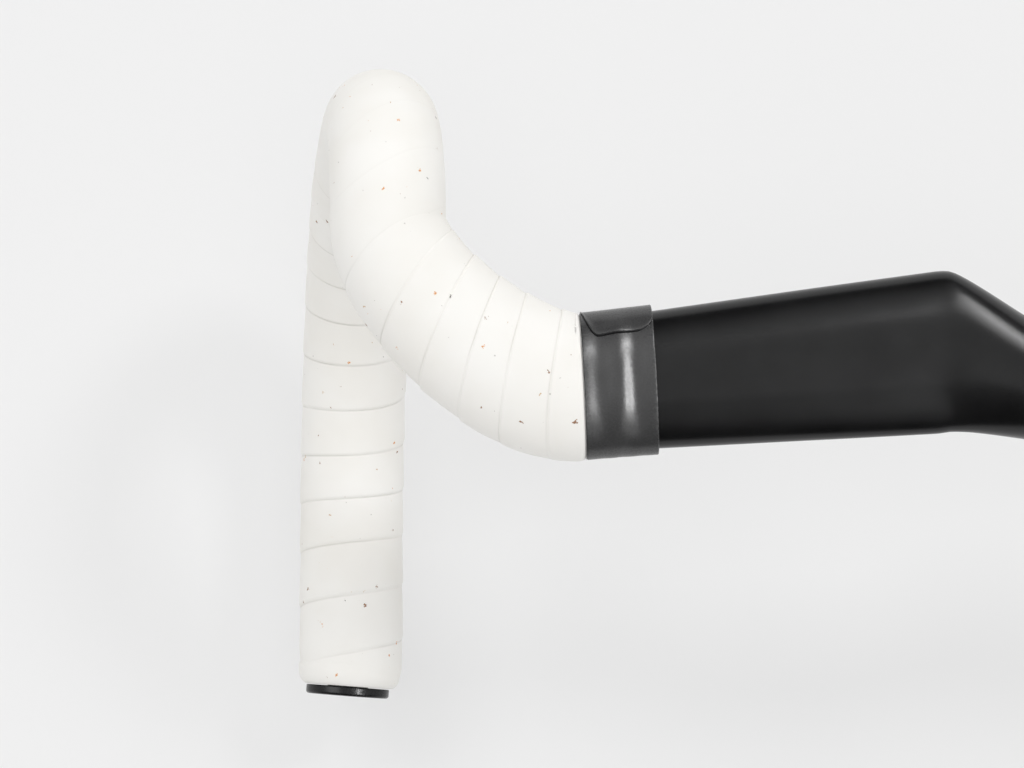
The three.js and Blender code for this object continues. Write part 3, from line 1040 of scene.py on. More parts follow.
@dataclass
class FinishingBand:
    """The vinyl band over the cut end of the cork tape, wound with its loose end on the top."""

    route: BarRoute
    width: float = 18.2
    inset: float = 1.0
    past_cut: float = 1.6
    skew: float = 0.85
    thickness: float = 0.45
    layer: float = 0.35
    edge_lifts: tuple = (1.85, 1.40)
    relief: tuple = ((0.0, 0.13), (0.23, -0.36), (0.51, 0.24), (0.73, -0.50), (1.0, 0.0))
    lip: float = 0.25
    flap_angle: float = 50.5
    flap_skew: float = 2.0
    outboard_corner: float = 0.25
    outboard_retreat: float = 68.0
    inboard_corner: float = 0.25
    inboard_retreat: float = 10.0
    flap_raise: float = 0.28
    flap_raised_at: float = 0.25
    flap_raised_spread: float = 0.5
    flap_reach: float = 0.22
    flap_rolled: float = 0.06
    flap_rolled_share: float = 0.125
    flap_foot: float = 0.005
    flap_gap: float = 0.021
    flap_gap_depth: float = 0.38
    # Share of the gap, from the loose end, over which shadow is painted at full strength
    painted_gap_shadow_share: float = 0.8
    gap_deep_share: float = 0.5
    gap_closes_from: float = 0.72
    gap_closes_by: float = 0.7
    pull_depth: float = 0.03
    pull_waves: tuple = ((3.0, 5.0, 0.0, 0.5), (7.0, -9.0, 1.0, 0.3))
    pucker_depth: float = 0.04
    pucker_waves: float = 22.0
    pucker_bend: float = 2.0
    pucker_spread: float = 0.5
    near_steps: tuple = (0.0, 0.1, 0.2, 0.3, 0.42, 0.55, 0.7, 0.85, 1.0, 1.15, 1.4, 2.0, 3.2)
    before_steps: tuple = (0.9, 0.6, 0.35, 0.2, 0.1, 0.05, 0.02)
    edge_crowding: float = 0.35
    step_levels: tuple = (0.75, 0.72, 0.42, 0.39, 0.1)
    step_insets: tuple = (0.9, 1.2, 1.2, 0.9, 0.9)
    off_bar: float = 0.1
    columns: int = 200
    rows: int = 44
    lip_rows: int = 5
    inner_rows: int = 12

    @property
    def outer_edge(self) -> float:
        """Distance along the route of the band's outboard edge."""
        return self.route.starts["shoulder"] - self.inset

    @property
    def tape_cut(self) -> float:
        """Distance along the route of the tape's cut end."""
        return self.outer_edge - self.width + self.past_cut

    def edge_shift(self, angle: np.ndarray) -> np.ndarray:
        """Shift of the band's edges along the bar, which is wound a little askew."""
        return -self.skew * np.cos(angle)

    def outside_lift(self, across: np.ndarray, angle: np.ndarray) -> np.ndarray:
        """Lift of the band's first layer off the bar.

        Args:
            across: Place across the band, 0 at its outboard edge and 1 at its inner one.
            angle: Angle round the bar; the relief shows on its broad faces and fades at its edges.

        Returns:
            The lift.
        """
        level = mix(self.edge_lifts[0], self.edge_lifts[1], np.asarray(across, float))
        return level + eased_through(across, self.relief) * np.sin(angle) ** 2

    def flap_edge(self, across: np.ndarray) -> np.ndarray:
        """Angle of the loose end across the band, with its rounded corners.

        Args:
            across: Place across the band.

        Returns:
            The angles in radians.
        """
        out_reach = np.clip(1.0 - across / self.outboard_corner, 0.0, 1.0)
        in_reach = np.clip(1.0 - (1.0 - across) / self.inboard_corner, 0.0, 1.0)
        degrees = self.flap_angle - self.flap_skew * (across - self.outboard_corner)
        degrees = degrees - self.outboard_retreat * (1.0 - np.sqrt(1.0 - out_reach**2))
        degrees = degrees - self.inboard_retreat * (1.0 - np.sqrt(1.0 - in_reach**2))
        return np.radians(degrees)

    def _past_flap(self) -> np.ndarray:
        """Angles of the columns past the loose end, close together beside it.

        Returns:
            The angles in radians, in order.
        """
        near = self.flap_gap * np.array(self.near_steps)
        before = FULL_TURN - self.flap_reach * np.array(self.before_steps)
        middle = np.linspace(near[-1], before[0], self.columns - len(near) - len(before) + 2)[1:-1]
        return np.concatenate([near, middle, before])

    def _wound_lift(self, across: np.ndarray, past: np.ndarray) -> tuple[np.ndarray, np.ndarray]:
        """Extra lift of the layers and the loose end, with the gap under it and the mask of the shadow
        painted into that gap.

        Args:
            across: Place across the band.
            past: Angle past the loose end.

        Returns:
            The lift and the crease mask, which marks where shadow is painted into the gap.
        """
        to_end = FULL_TURN - past
        raised = self.flap_raise * np.exp(-((across - self.flap_raised_at) / self.flap_raised_spread) ** 2)
        curl = raised * (1.0 - smoothstep(to_end, 0.0, self.flap_reach))
        rolled = self.flap_rolled * (1.0 - smoothstep(to_end, 0.0, self.flap_reach * self.flap_rolled_share))
        under = self.layer * past / FULL_TURN
        lift = np.where(past > math.pi, under + curl - rolled, under)
        end_lift = self.layer + raised - self.flap_rolled
        begun = smoothstep(past, 0.0, self.flap_foot)
        lift = np.where(past < self.flap_foot, mix(lift, end_lift, 1.0 - begun), lift)
        # Mask of the shadow painted into the gap under the loose end; the gap is also cut into the geometry
        # below
        dark = begun * (1.0 - smoothstep(past, self.flap_gap * self.painted_gap_shadow_share, self.flap_gap))
        deep = begun * (1.0 - smoothstep(past, self.flap_gap * self.gap_deep_share, self.flap_gap))
        open_gap = 1.0 - self.gap_closes_by * smoothstep(across, self.gap_closes_from, 1.0)
        return lift - self.flap_gap_depth * deep * open_gap, dark * open_gap

    def _wrinkles(self, across: np.ndarray, angle: np.ndarray) -> np.ndarray:
        """Soft uneven pull of the vinyl, with small puckers under the trailing edge.

        Args:
            across: Place across the band.
            angle: Angle round the bar, from 0 to a full turn.

        Returns:
            The lift that they add.
        """
        pull = sum(
            np.sin(turns * angle + slant * across + start) * share
            for turns, slant, start, share in self.pull_waves
        )
        bend = self.pucker_bend * np.sin(2.0 * angle)
        behind = np.exp(-((angle - math.pi) / self.pucker_spread) ** 2)
        puckers = np.sin(self.pucker_waves * across + bend) * behind
        return self.pull_depth * pull + self.pucker_depth * puckers * np.sin(math.pi * across)

    def _inboard_edge(self, angle: np.ndarray, top: np.ndarray) -> np.ndarray:
        """The rounded lip of the band's inner edge and the steps of its layers below.

        Args:
            angle: Angles of the columns at that edge.
            top: Lift of the outer face there.

        Returns:
            Points in columns of rows.
        """
        edge = self.outer_edge - self.width + self.edge_shift(angle)
        turn = np.linspace(0.0, math.pi / 2, self.lip_rows + 1)[None, 1:]
        lip_lift = top - self.lip * (1.0 - np.cos(turn))
        lip = self.route.surface(edge - self.lip * np.sin(turn), angle, lip_lift)
        insets = self.lip * np.array([self.step_insets])
        steps = self.route.surface(edge - insets, angle, top * np.array([self.step_levels]))
        return np.concatenate([lip, steps], axis=1)

    def _underside(self, past: np.ndarray) -> np.ndarray:
        """The face on the tape, and on the bar past the tape's cut end.

        Args:
            past: Angles past the loose end.

        Returns:
            Points in columns of rows.
        """
        across = np.linspace(1.0, 0.0, self.inner_rows)[None, :]
        angles = self.flap_edge(across) + past
        on_tape = across < 1.0 - self.past_cut / self.width
        lift = np.where(on_tape, self.outside_lift(across, angles) - self.thickness, self.off_bar)
        at = self.outer_edge - self.width * across + self.edge_shift(angles)
        return self.route.surface(at, angles, lift)

    def build(self, side: Side, finish: bpy.types.Material) -> bpy.types.Object:
        """Makes one side's band as a closed solid.

        Args:
            side: The half of the bar that it is for.
            finish: The band's finish.

        Returns:
            The finished object.
        """
        share = np.linspace(0.0, 1.0, self.rows)
        across = (share - self.edge_crowding * np.sin(FULL_TURN * share) / FULL_TURN)[None, :]
        past = self._past_flap()[:, None]
        angle = self.flap_edge(across) + past
        lift, crease = self._wound_lift(across, past)
        at = self.outer_edge - self.width * across + self.edge_shift(angle)
        top = self.outside_lift(across, angle) + lift + self._wrinkles(across, np.mod(angle, FULL_TURN))
        outer = self.route.surface(at, angle, top)
        edge = self._inboard_edge(angle[:, -1:], top[:, -1:])
        points = np.concatenate([outer, edge, self._underside(past)], axis=1)
        # The crease mask tells the vinyl's finish where to paint the shadow in the gap
        mask = np.zeros(points.shape[:2])
        mask[:, : self.rows] = crease
        faces = ring_faces(points.shape[0], points.shape[1])
        piece = make_piece(f"finishing_band_{side.label}", points, faces, side, {"crease": mask})
        return dress(piece, finish, (f"finishing_tape_{side.label}",), sharp=55.0)


# End plug


@dataclass
class PlugSeat:
    """Where the plug sits in the right bar end: askew, with its cap against the tape."""

    route: BarRoute
    tilt: float = 4.5
    pivot_depth: float = 10.0
    tape_over_end: float = 1.4
    gap: float = 0.3

    def __post_init__(self) -> None:
        """Works out the seat's origin and axes."""
        centre, normal, chord, up = self.route.frames(np.array(self.route.length))
        tilt = math.radians(self.tilt)
        self.outward = math.cos(tilt) * normal - math.sin(tilt) * chord
        self.across = math.cos(tilt) * chord + math.sin(tilt) * normal
        self.up = up
        out = self.pivot_depth + self.tape_over_end + 2 * self.gap
        self.origin = centre - self.pivot_depth * normal + out * self.outward

    def points(self, radius: np.ndarray, angle: np.ndarray, height: np.ndarray) -> np.ndarray:
        """Points round the plug's own axis, at heights outward from the cap's inner face.

        Args:
            radius: Distances from the axis.
            angle: Angles round it.
            height: Heights along it.

        Returns:
            Points with a last axis of three.
        """
        given = (np.asarray(value, float) for value in (radius, angle, height))
        radius, angle, height = np.broadcast_arrays(*given)
        sideways = (radius * np.cos(angle))[..., None] * self.across
        upward = (radius * np.sin(angle))[..., None] * self.up
        return self.origin + sideways + upward + height[..., None] * self.outward


@dataclass
class EndPlug:
    """The expanding plug: a finer cap and screw, and the part's own sleeve and cone nut."""

    seat: PlugSeat
    cap_diameter: float = 24.4
    cap_thickness: float = 2.6
    cap_bevel: float = 0.9
    hub_diameter: float = 12.0
    hub_length: float = 2.0
    recess_depth: float = 2.1
    groove_radius: float = 9.0
    groove_depth: float = 0.35
    groove_width: float = 0.9
    groove_bend: tuple = (0.6, 0.8)
    mouth_bevel: float = 0.3
    mouth_bulge: float = 0.09
    screw_diameter: float = 5.0
    screw_length: float = 21.0
    head_diameter: float = 9.0
    head_height: float = 1.6
    hole_clearance: float = 0.4
    tip_bevel: float = 0.6
    head_foot: float = 0.1
    head_bevel: float = 0.45
    head_bulge: float = 0.13
    hex_key: float = 3.0
    hex_depth: float = 1.2
    hex_mouth: float = 1.42
    hex_flare: float = 1.04
    hex_flare_depths: tuple = (0.12, 0.25)
    bevel_rows: int = 7
    sides: int = 96

    def _cap_profile(self) -> list[tuple[float, float]]:
        """The cap's closed half section, as radius and height.

        Returns:
            Pairs of a radius and a height, in order.
        """
        rim = self.cap_diameter / 2
        top = self.cap_thickness
        hole = self.screw_diameter / 2 + self.hole_clearance
        recess = self.head_diameter / 2 + self.hole_clearance
        floor = top - self.recess_depth
        half_groove = self.groove_width / 2
        bend_out, bend_down = self.groove_bend
        turns = np.linspace(0.0, math.pi / 2, self.bevel_rows)
        small = self.cap_bevel / 3
        rim_foot = [(rim - small + small * math.sin(t), small - small * math.cos(t)) for t in turns]
        bevel = self.cap_bevel
        rim_top = [(rim - bevel + bevel * math.cos(t), top - bevel + bevel * math.sin(t)) for t in turns]
        groove = [
            (self.groove_radius + half_groove, top),
            (self.groove_radius + half_groove * bend_out, top - self.groove_depth * bend_down),
            (self.groove_radius, top - self.groove_depth),
            (self.groove_radius - half_groove * bend_out, top - self.groove_depth * bend_down),
            (self.groove_radius - half_groove, top),
        ]
        bevelled = self.mouth_bevel
        bulge = self.mouth_bulge
        lip = [(recess + bevelled, top), (recess + bulge, top - bulge), (recess, top - bevelled)]
        hub = self.hub_diameter / 2
        return [
            (hole, -self.hub_length),
            (hub, -self.hub_length),
            (hub, 0.0),
            *rim_foot,
            *rim_top,
            *groove,
            *lip,
            (recess, floor),
            (hole, floor),
        ]

    def _cap(self, side: Side, finish: bpy.types.Material) -> bpy.types.Object:
        """Makes the cap.

        Args:
            side: The half of the bar that it is for.
            finish: The cap's finish.

        Returns:
            The finished object.
        """
        profile = np.array(self._cap_profile())
        angles = column_angles(self.sides)
        points = self.seat.points(profile[None, :, 0], angles, profile[None, :, 1])
        piece = make_piece(f"cap_{side.label}", points, ring_faces(self.sides, len(profile)), side)
        return dress(piece, finish, (f"plug_cap_{side.label}",), sharp=40.0)

    def _screw(self, side: Side, finish: bpy.types.Material) -> bpy.types.Object:
        """Makes the screw with its rounded head and hexagonal socket.

        Args:
            side: The half of the bar that it is for.
            finish: The screw's finish.

        Returns:
            The finished object.
        """
        angles = column_angles(self.sides)
        sixth = math.pi / 3
        flat = np.mod(angles, sixth) - sixth / 2
        hexagon = self.hex_key / 2 / np.cos(flat)
        base = self.cap_thickness - self.recess_depth + self.seat.gap
        top = base + self.head_height
        head = self.head_diameter / 2
        shank = self.screw_diameter / 2
        tip = base - self.screw_length
        flare_low, socket_low = self.hex_flare_depths
        round_rows = [
            (0.0, tip),
            (shank - self.tip_bevel, tip),
            (shank, tip + self.tip_bevel),
            (shank, base),
            (head - self.head_foot, base),
            (head, base + self.head_foot),
            (head, top - self.head_bevel),
            (head - self.head_bulge, top - self.head_bulge),
            (head - self.head_bevel, top),
            (self.hex_key / 2 * self.hex_mouth, top),
        ]
        columns = [(np.full_like(angles, radius), height) for radius, height in round_rows]
        columns += [
            (hexagon * self.hex_flare, top - flare_low),
            (hexagon, top - socket_low),
            (hexagon, top - self.hex_depth),
            (np.zeros_like(angles), top - self.hex_depth),
        ]
        radii = np.concatenate([radius for radius, _ in columns], axis=1)
        heights = np.array([height for _, height in columns])[None, :]
        points = self.seat.points(radii, angles, heights)
        piece = make_piece(f"screw_{side.label}", points, ring_faces(self.sides, len(columns)), side)
        return dress(piece, finish, (f"plug_screw_{side.label}",), sharp=35.0)

    def build(self, side: Side, plastic: bpy.types.Material, rubber: bpy.types.Material,
              steel: bpy.types.Material) -> None:
        """Makes one side's cap and screw and dresses the CAD sleeve and cone nut.

        Args:
            side: The half of the bar that it is for.
            plastic: Finish of the cap and the cone nut.
            rubber: Finish of the sleeve.
            steel: Finish of the screw.
        """
        self._cap(side, plastic)
        self._screw(side, steel)
        for node, finish in (("plug_sleeve", rubber), ("plug_wedge", plastic)):
            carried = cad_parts[f"{node}_{side.label}"]
            for slot in carried.material_slots:
                slot.material = finish
            log.info("%s: the CAD node with its own finish", carried.name)


# Cork tape


@dataclass
class CorkTape:
    """The grip tape of one side, wound from the bar end and folded in under the plug."""

    route: BarRoute
    band: FinishingBand
    seat: PlugSeat
    depth: float = 2.75
    depth_beside_band: float = 2.0
    swell: float = 18.0
    shoulder: float = 0.8
    pitch_at_end: float = 15.9
    pitch_at_top: float = 10.9
    start_turn: float = 0.21
    lean_at_top: float = 4.7
    lean_growth: float = 0.8
    step: float = 0.34
    step_in_hook: float = 0.04
    fade: float = 7.0
    hook_fade: float = 22.0
    drift: float = 1.2
    drift_turns: float = 6.0
    drift_start: float = 0.3
    under_band: float = 0.5
    fold_radius: float = 2.6
    fold_length: float = 4.3
    fold_lean: float = 1.2
    fold_rows: int = 9
    tuck_depth: float = 13.0
    sleeve_diameter: float = 15.4
    edge_rounding: float = 0.85
    lap_fall: float = 1.75
    crease_depth: float = 0.09
    crease_width: float = 0.38
    lap_variation: float = 0.25
    unevenness: float = 0.22
    uneven_scale: float = 42.0
    seed: int = 7
    variation_scale: float = 0.9
    broken_scale: float = 2.6
    broken_from: float = 0.36
    broken_to: float = 0.62
    broken_least: float = 0.15
    hook_crease_loss: float = 0.9
    edge_parts: tuple = (0.0, 0.007, 0.014, 0.022, 0.031, 0.042, 0.056, 0.08)
    face_parts: tuple = (0.13, 0.94, 12)
    last_parts: tuple = (0.972, 0.986, 0.994)
    shoulder_rows: int = 5
    pressed_rows: int = 16
    bar_face_step: float = 5.0
    bar_face_inset: float = 0.2
    columns: int = 104
    marks: tuple = ("phase", "turns", "fade", "in_hook", "raised")

    def __post_init__(self) -> None:
        """Works out how many turns cover the grip."""
        self.wrap_start = self.band.outer_edge + self.seat.gap + self.shoulder
        self.wrap_length = self.route.length - self.wrap_start
        self.mean_pitch = (self.pitch_at_end + self.pitch_at_top) / 2
        self.turns = self.wrap_length / self.mean_pitch
        self.tree = self._winding_tree()

    def _row_parts(self) -> np.ndarray:
        """Places of the rows within one turn, close together beside the lapped edge."""
        return np.concatenate([self.edge_parts, np.linspace(*self.face_parts), self.last_parts])

    def _distance(self, turns: np.ndarray, angles: np.ndarray) -> np.ndarray:
        """Distance from the bar end to a winding line, which drifts and leans as hand-wound tape does.

        Args:
            turns: Turns from the bar end.
            angles: Angles round the bar.

        Returns:
            The distances.
        """
        tighter = (self.pitch_at_top - self.pitch_at_end) * turns**2 / (2 * self.turns)
        drift = self.drift * np.sin(FULL_TURN * (turns - self.drift_start) / self.drift_turns)
        lean = -self.lean_at_top * (turns / self.turns) ** self.lean_growth * np.cos(angles)
        settled = smoothstep(turns, 0.0, 1.0) * smoothstep(self.turns - turns, 0.0, 2.0)
        return self.pitch_at_end * turns + tighter + (drift + lean) * settled

    def _depth_at(self, at: np.ndarray) -> np.ndarray:
        """Lift of the lowest part of a turn off the bar."""
        swelled = smoothstep(at, self.wrap_start, self.wrap_start + self.swell)
        return self.seat.gap + mix(self.depth_beside_band, self.depth, swelled)

    def _wound_rows(self, angles: np.ndarray) -> dict[str, np.ndarray]:
        """Rows of the wound surface and what the winding tree needs of each point.

        Args:
            angles: Angles of the columns round the bar.

        Returns:
            The points and their marks, by name.
        """
        parts = self._row_parts()
        starts = np.arange(-1, math.ceil(self.turns) + 1)
        phase = np.broadcast_to(np.tile(parts, len(starts)), (self.columns, len(starts) * len(parts)))
        wound = (starts[:, None] + parts[None, :]).reshape(1, -1) + angles / FULL_TURN - self.start_turn
        turns = np.clip(wound, 0.0, self.turns)
        at = self.route.length - self._distance(turns, angles)
        at = np.minimum(at, self.route.length - self.fold_length + self.fold_lean * np.cos(angles))
        shift = self.band.edge_shift(angles)
        at = np.maximum(at, self.wrap_start + shift)
        lift = self._depth_at(at - shift)
        points = self.route.surface(at, angles, lift)
        raised = unit(self.route.surface(at, angles, lift + 1.0) - points)
        fade = smoothstep(at - shift, self.wrap_start, self.wrap_start + self.fade)
        fade = fade * smoothstep(self.route.length - self.fold_length - at, 0.0, self.fade)
        hook_top = self.route.starts["hook_top"]
        into_hook = smoothstep(at, hook_top - self.hook_fade, hook_top)
        past_front = self.route.starts["hook"] + self.hook_fade
        out_of_hook = smoothstep(at, past_front, past_front + self.hook_fade)
        return {"points": points, "phase": phase, "turns": turns, "raised": raised, "fade": fade,
                "in_hook": into_hook - out_of_hook}

    def _under_band_rows(self, angles: np.ndarray) -> np.ndarray:
        """The rounded shoulder beside the band, the pressed part under it and the cut end.

        Args:
            angles: Angles of the columns round the bar.

        Returns:
            Points in columns of rows.
        """
        turns = np.linspace(0.0, math.pi / 2, self.shoulder_rows + 1)[1:]
        high = self.seat.gap + self.depth_beside_band
        low = self.band.outside_lift(0.0, angles) - self.under_band
        at = self.wrap_start - (self.shoulder + self.seat.gap / 2) * np.sin(turns)
        beside = low + (high - low) * np.cos(turns)[None, :]
        pressed = np.linspace(0.0, 1.0 - self.band.past_cut / self.band.width, self.pressed_rows)[None, :]
        at = np.concatenate([at[None, :], self.band.outer_edge - self.band.width * pressed], axis=1)
        lift = np.concatenate([beside, self.band.outside_lift(pressed, angles) - self.under_band], axis=1)
        return self.route.surface(at + self.band.edge_shift(angles), angles, lift)

    def _inside_rows(self, angles: np.ndarray) -> np.ndarray:
        """The face against the bar, the tuck inside it and the fold over its end.

        Args:
            angles: Angles of the columns round the bar.

        Returns:
            Points in columns of rows.
        """
        gap = self.seat.gap
        count = math.ceil((self.route.length - self.band.tape_cut) / self.bar_face_step)
        last = self.route.length - self.bar_face_inset
        against = np.linspace(self.band.tape_cut, last, count)[None, :]
        straightened = smoothstep(against, self.band.tape_cut, self.wrap_start)
        shift = self.band.edge_shift(angles) * (1.0 - straightened)
        facing = self.route.surface(against + shift, angles, gap)
        rim = self.route.grip_diameter / 2 + gap + self.depth
        tuck = self.sleeve_diameter / 2 + gap
        inside = -self.route.wall - gap
        mouth = self.route.surface(self.route.length, angles, np.array([[gap, inside]]), gap)
        deep = self.route.surface(self.route.length - self.tuck_depth, angles, inside)
        low = -self.tuck_depth - self.seat.tape_over_end - gap
        tucked = self.seat.points(np.array([[tuck, tuck]]), angles, np.array([[low, -gap]]))
        turn = np.linspace(math.pi / 2, 0.0, self.fold_rows)[None, :]
        radius = rim - self.fold_radius * (1.0 - np.cos(turn))
        lean = self.fold_length - self.fold_lean * np.cos(angles)
        height = -gap - lean * (1.0 - np.sin(turn))
        fold = self.seat.points(radius, angles, height)
        return np.concatenate([facing, mouth, deep, tucked, fold], axis=1)

    def _winding_tree(self) -> bpy.types.NodeTree:
        """The rule by which each turn laps over the one before it.

        Returns:
            The tree, which is used for both sides.
        """
        tree = bpy.data.node_groups.new("Lapped winding", "GeometryNodeTree")
        inputs = {
            "Geometry": "Geometry", "Step": "Float", "Step in Hook": "Float", "Edge Rounding": "Float",
            "Lap Fall": "Float", "Crease Depth": "Float", "Crease Width": "Float", "Lap Variation": "Float",
            "Unevenness": "Float", "Uneven Scale": "Float", "Variation Scale": "Float",
            "Broken Scale": "Float", "Broken From": "Float", "Broken To": "Float", "Broken Least": "Float",
            "Crease Loss in Hook": "Float", "Seed": "Int", "Material": "Material",
        }
        for label, kind in inputs.items():
            tree.interface.new_socket(label, in_out="INPUT", socket_type=f"NodeSocket{kind}")
        tree.interface.new_socket("Geometry", in_out="OUTPUT", socket_type="NodeSocketGeometry")
        graph = Graph(tree)
        given = graph.node("NodeGroupInput").outputs

        def mark(name: str, kind: str = "FLOAT") -> bpy.types.NodeSocket:
            """Reads one of the mesh's own marks."""
            return graph.node("GeometryNodeInputNamedAttribute", {"Name": name}, data_type=kind).outputs[0]

        def changing(along: object, scale: object) -> bpy.types.NodeSocket:
            """Gives a number that changes softly along the winding."""
            feeds = {"W": along, "Scale": scale}
            return graph.node("ShaderNodeTexNoise", feeds, noise_dimensions="1D").outputs[0]

        part = mark("phase")
        fade = mark("fade")
        rounded = graph.span(part, 0.0, given["Edge Rounding"])
        fall = graph.math("SUBTRACT", 1.0, graph.math("POWER", part, given["Lap Fall"]))
        along = graph.math("ADD", mark("turns"), given["Seed"])
        spread = given["Lap Variation"]
        least = graph.math("SUBTRACT", 1.0, spread)
        most = graph.math("ADD", 1.0, spread)
        vary = graph.span(
            changing(along, given["Variation Scale"]), NOISE_LOW, NOISE_HIGH, least, most, eased=False)
        step = graph.span(mark("in_hook"), 0.0, 1.0, given["Step"], given["Step in Hook"], eased=False)
        lapped = graph.math("MULTIPLY", rounded, fall)
        rise = graph.math("MULTIPLY", lapped, graph.math("MULTIPLY", step, vary))
        beside = graph.math("MINIMUM", part, graph.math("SUBTRACT", 1.0, part))
        broken = graph.span(
            changing(along, given["Broken Scale"]), given["Broken From"], given["Broken To"],
            given["Broken Least"])
        lost = graph.math("MULTIPLY", mark("in_hook"), given["Crease Loss in Hook"])
        shown = graph.math("MULTIPLY", graph.math("SUBTRACT", 1.0, lost), broken)
        # The crease mask lowers the surface a little along each lap and marks where the finish paints shade
        # there
        crease = graph.math("MULTIPLY", graph.span(beside, 0.0, given["Crease Width"], 1.0, 0.0), shown)
        dip = graph.math("MULTIPLY", crease, given["Crease Depth"])
        noise = graph.node(
            "ShaderNodeTexNoise",
            {"Vector": graph.node("GeometryNodeInputPosition").outputs[0], "Scale": given["Uneven Scale"],
             "W": given["Seed"], "Detail": 2.0},
            noise_dimensions="4D",
        ).outputs[0]
        lumps = graph.math("MULTIPLY", graph.math("SUBTRACT", noise, 0.5), given["Unevenness"])
        height = graph.math("ADD", graph.math("SUBTRACT", rise, dip), lumps)
        push = graph.scaled(mark("raised", "FLOAT_VECTOR"), graph.math("MULTIPLY", height, fade))
        moved = graph.node("GeometryNodeSetPosition", {"Geometry": given["Geometry"], "Offset": push})
        # Stored for the finish, which paints shade along the laps by it
        stored = graph.node(
            "GeometryNodeStoreNamedAttribute",
            {"Geometry": moved.outputs[0], "Name": "crease", "Value": graph.math("MULTIPLY", crease, fade)},
            data_type="FLOAT",
            domain="POINT",
        )
        real = graph.node("GeometryNodeRealizeInstances", {"Geometry": stored.outputs[0]})
        dressed = graph.node(
            "GeometryNodeSetMaterial", {"Geometry": real.outputs[0], "Material": given["Material"]})
        result = graph.node("NodeGroupOutput")
        graph.feed(result.inputs["Geometry"], dressed.outputs[0])
        return tree

    def _lap(self, piece: bpy.types.Object, finish: bpy.types.Material) -> None:
        """Runs the winding tree on the tape and keeps its result as a plain mesh.

        Args:
            piece: The tape's object.
            finish: The tape's finish.
        """
        values = {
            "Step": self.step * MM, "Step in Hook": self.step_in_hook * MM,
            "Edge Rounding": self.edge_rounding / self.mean_pitch, "Lap Fall": self.lap_fall,
            "Crease Depth": self.crease_depth * MM, "Crease Width": self.crease_width / self.mean_pitch,
            "Lap Variation": self.lap_variation, "Unevenness": self.unevenness * MM,
            "Uneven Scale": self.uneven_scale, "Variation Scale": self.variation_scale,
            "Broken Scale": self.broken_scale, "Broken From": self.broken_from, "Broken To": self.broken_to,
            "Broken Least": self.broken_least, "Crease Loss in Hook": self.hook_crease_loss,
            "Seed": self.seed, "Material": finish,
        }
        modifier = piece.modifiers.new("winding", "NODES")
        modifier.node_group = self.tree
        for item in self.tree.interface.items_tree:
            if item.in_out == "INPUT" and item.name in values:
                modifier[item.identifier] = values[item.name]
        graph = bpy.context.evaluated_depsgraph_get()
        lapped = bpy.data.meshes.new_from_object(piece.evaluated_get(graph), depsgraph=graph)
        piece.modifiers.remove(modifier)
        plain = piece.data
        piece.data = lapped
        bpy.data.meshes.remove(plain)
        lapped.name = piece.name
        for mark in self.marks:
            lapped.attributes.remove(lapped.attributes[mark])
        lapped.shade_smooth()

    def build(self, side: Side, finish: bpy.types.Material) -> bpy.types.Object:
        """Makes one side's tape as a closed solid.

        Args:
            side: The half of the bar that it is for.
            finish: The tape's finish.

        Returns:
            The finished object.
        """
        angles = column_angles(self.columns)
        wound = self._wound_rows(angles)
        wound_count = wound["points"].shape[1]
        points = np.concatenate(
            [wound["points"], self._under_band_rows(angles), self._inside_rows(angles)], axis=1)
        marks = {}
        for mark in self.marks:
            values = np.zeros(points.shape[:2] + wound[mark].shape[2:])
            values[:, :wound_count] = wound[mark]
            marks[mark] = values
        faces = ring_faces(self.columns, points.shape[1], len(self._row_parts()), wound_count)
        piece = make_piece(f"cork_tape_{side.label}", points, faces, side, marks)
        self._lap(piece, finish)
        return dress(piece, finish, (f"bar_tape_{side.label}",))


# Studio


@dataclass(frozen=True)
class Softbox:
    """A rectangular lamp, either for the shading and shadows or for the reflections.

    Place, aim and size are in metres, and along is the way that its length runs.
    """

    name: str
    place: tuple
    aim: tuple
    along: tuple | np.ndarray
    size: tuple
    power: float
    reflected: bool

    def hang(self) -> bpy.types.Object:
        """Makes the lamp.

        Returns:
            The lamp.
        """
        data = bpy.data.lights.new(self.name, "AREA")
        data.shape = "RECTANGLE"
        data.size, data.size_y = self.size
        data.energy = self.power
        lamp = bpy.data.objects.new(self.name, data)
        away = unit(np.array(self.place) - np.array(self.aim))
        across = unit(np.cross(np.array(self.along), away))
        axes = np.stack([across, np.cross(away, across), away], axis=1)
        lamp.rotation_euler = Matrix(axes.tolist()).to_euler()
        lamp.location = self.place
        lamp.visible_diffuse = not self.reflected
        lamp.visible_glossy = self.reflected
        bpy.context.scene.collection.objects.link(lamp)
        return lamp


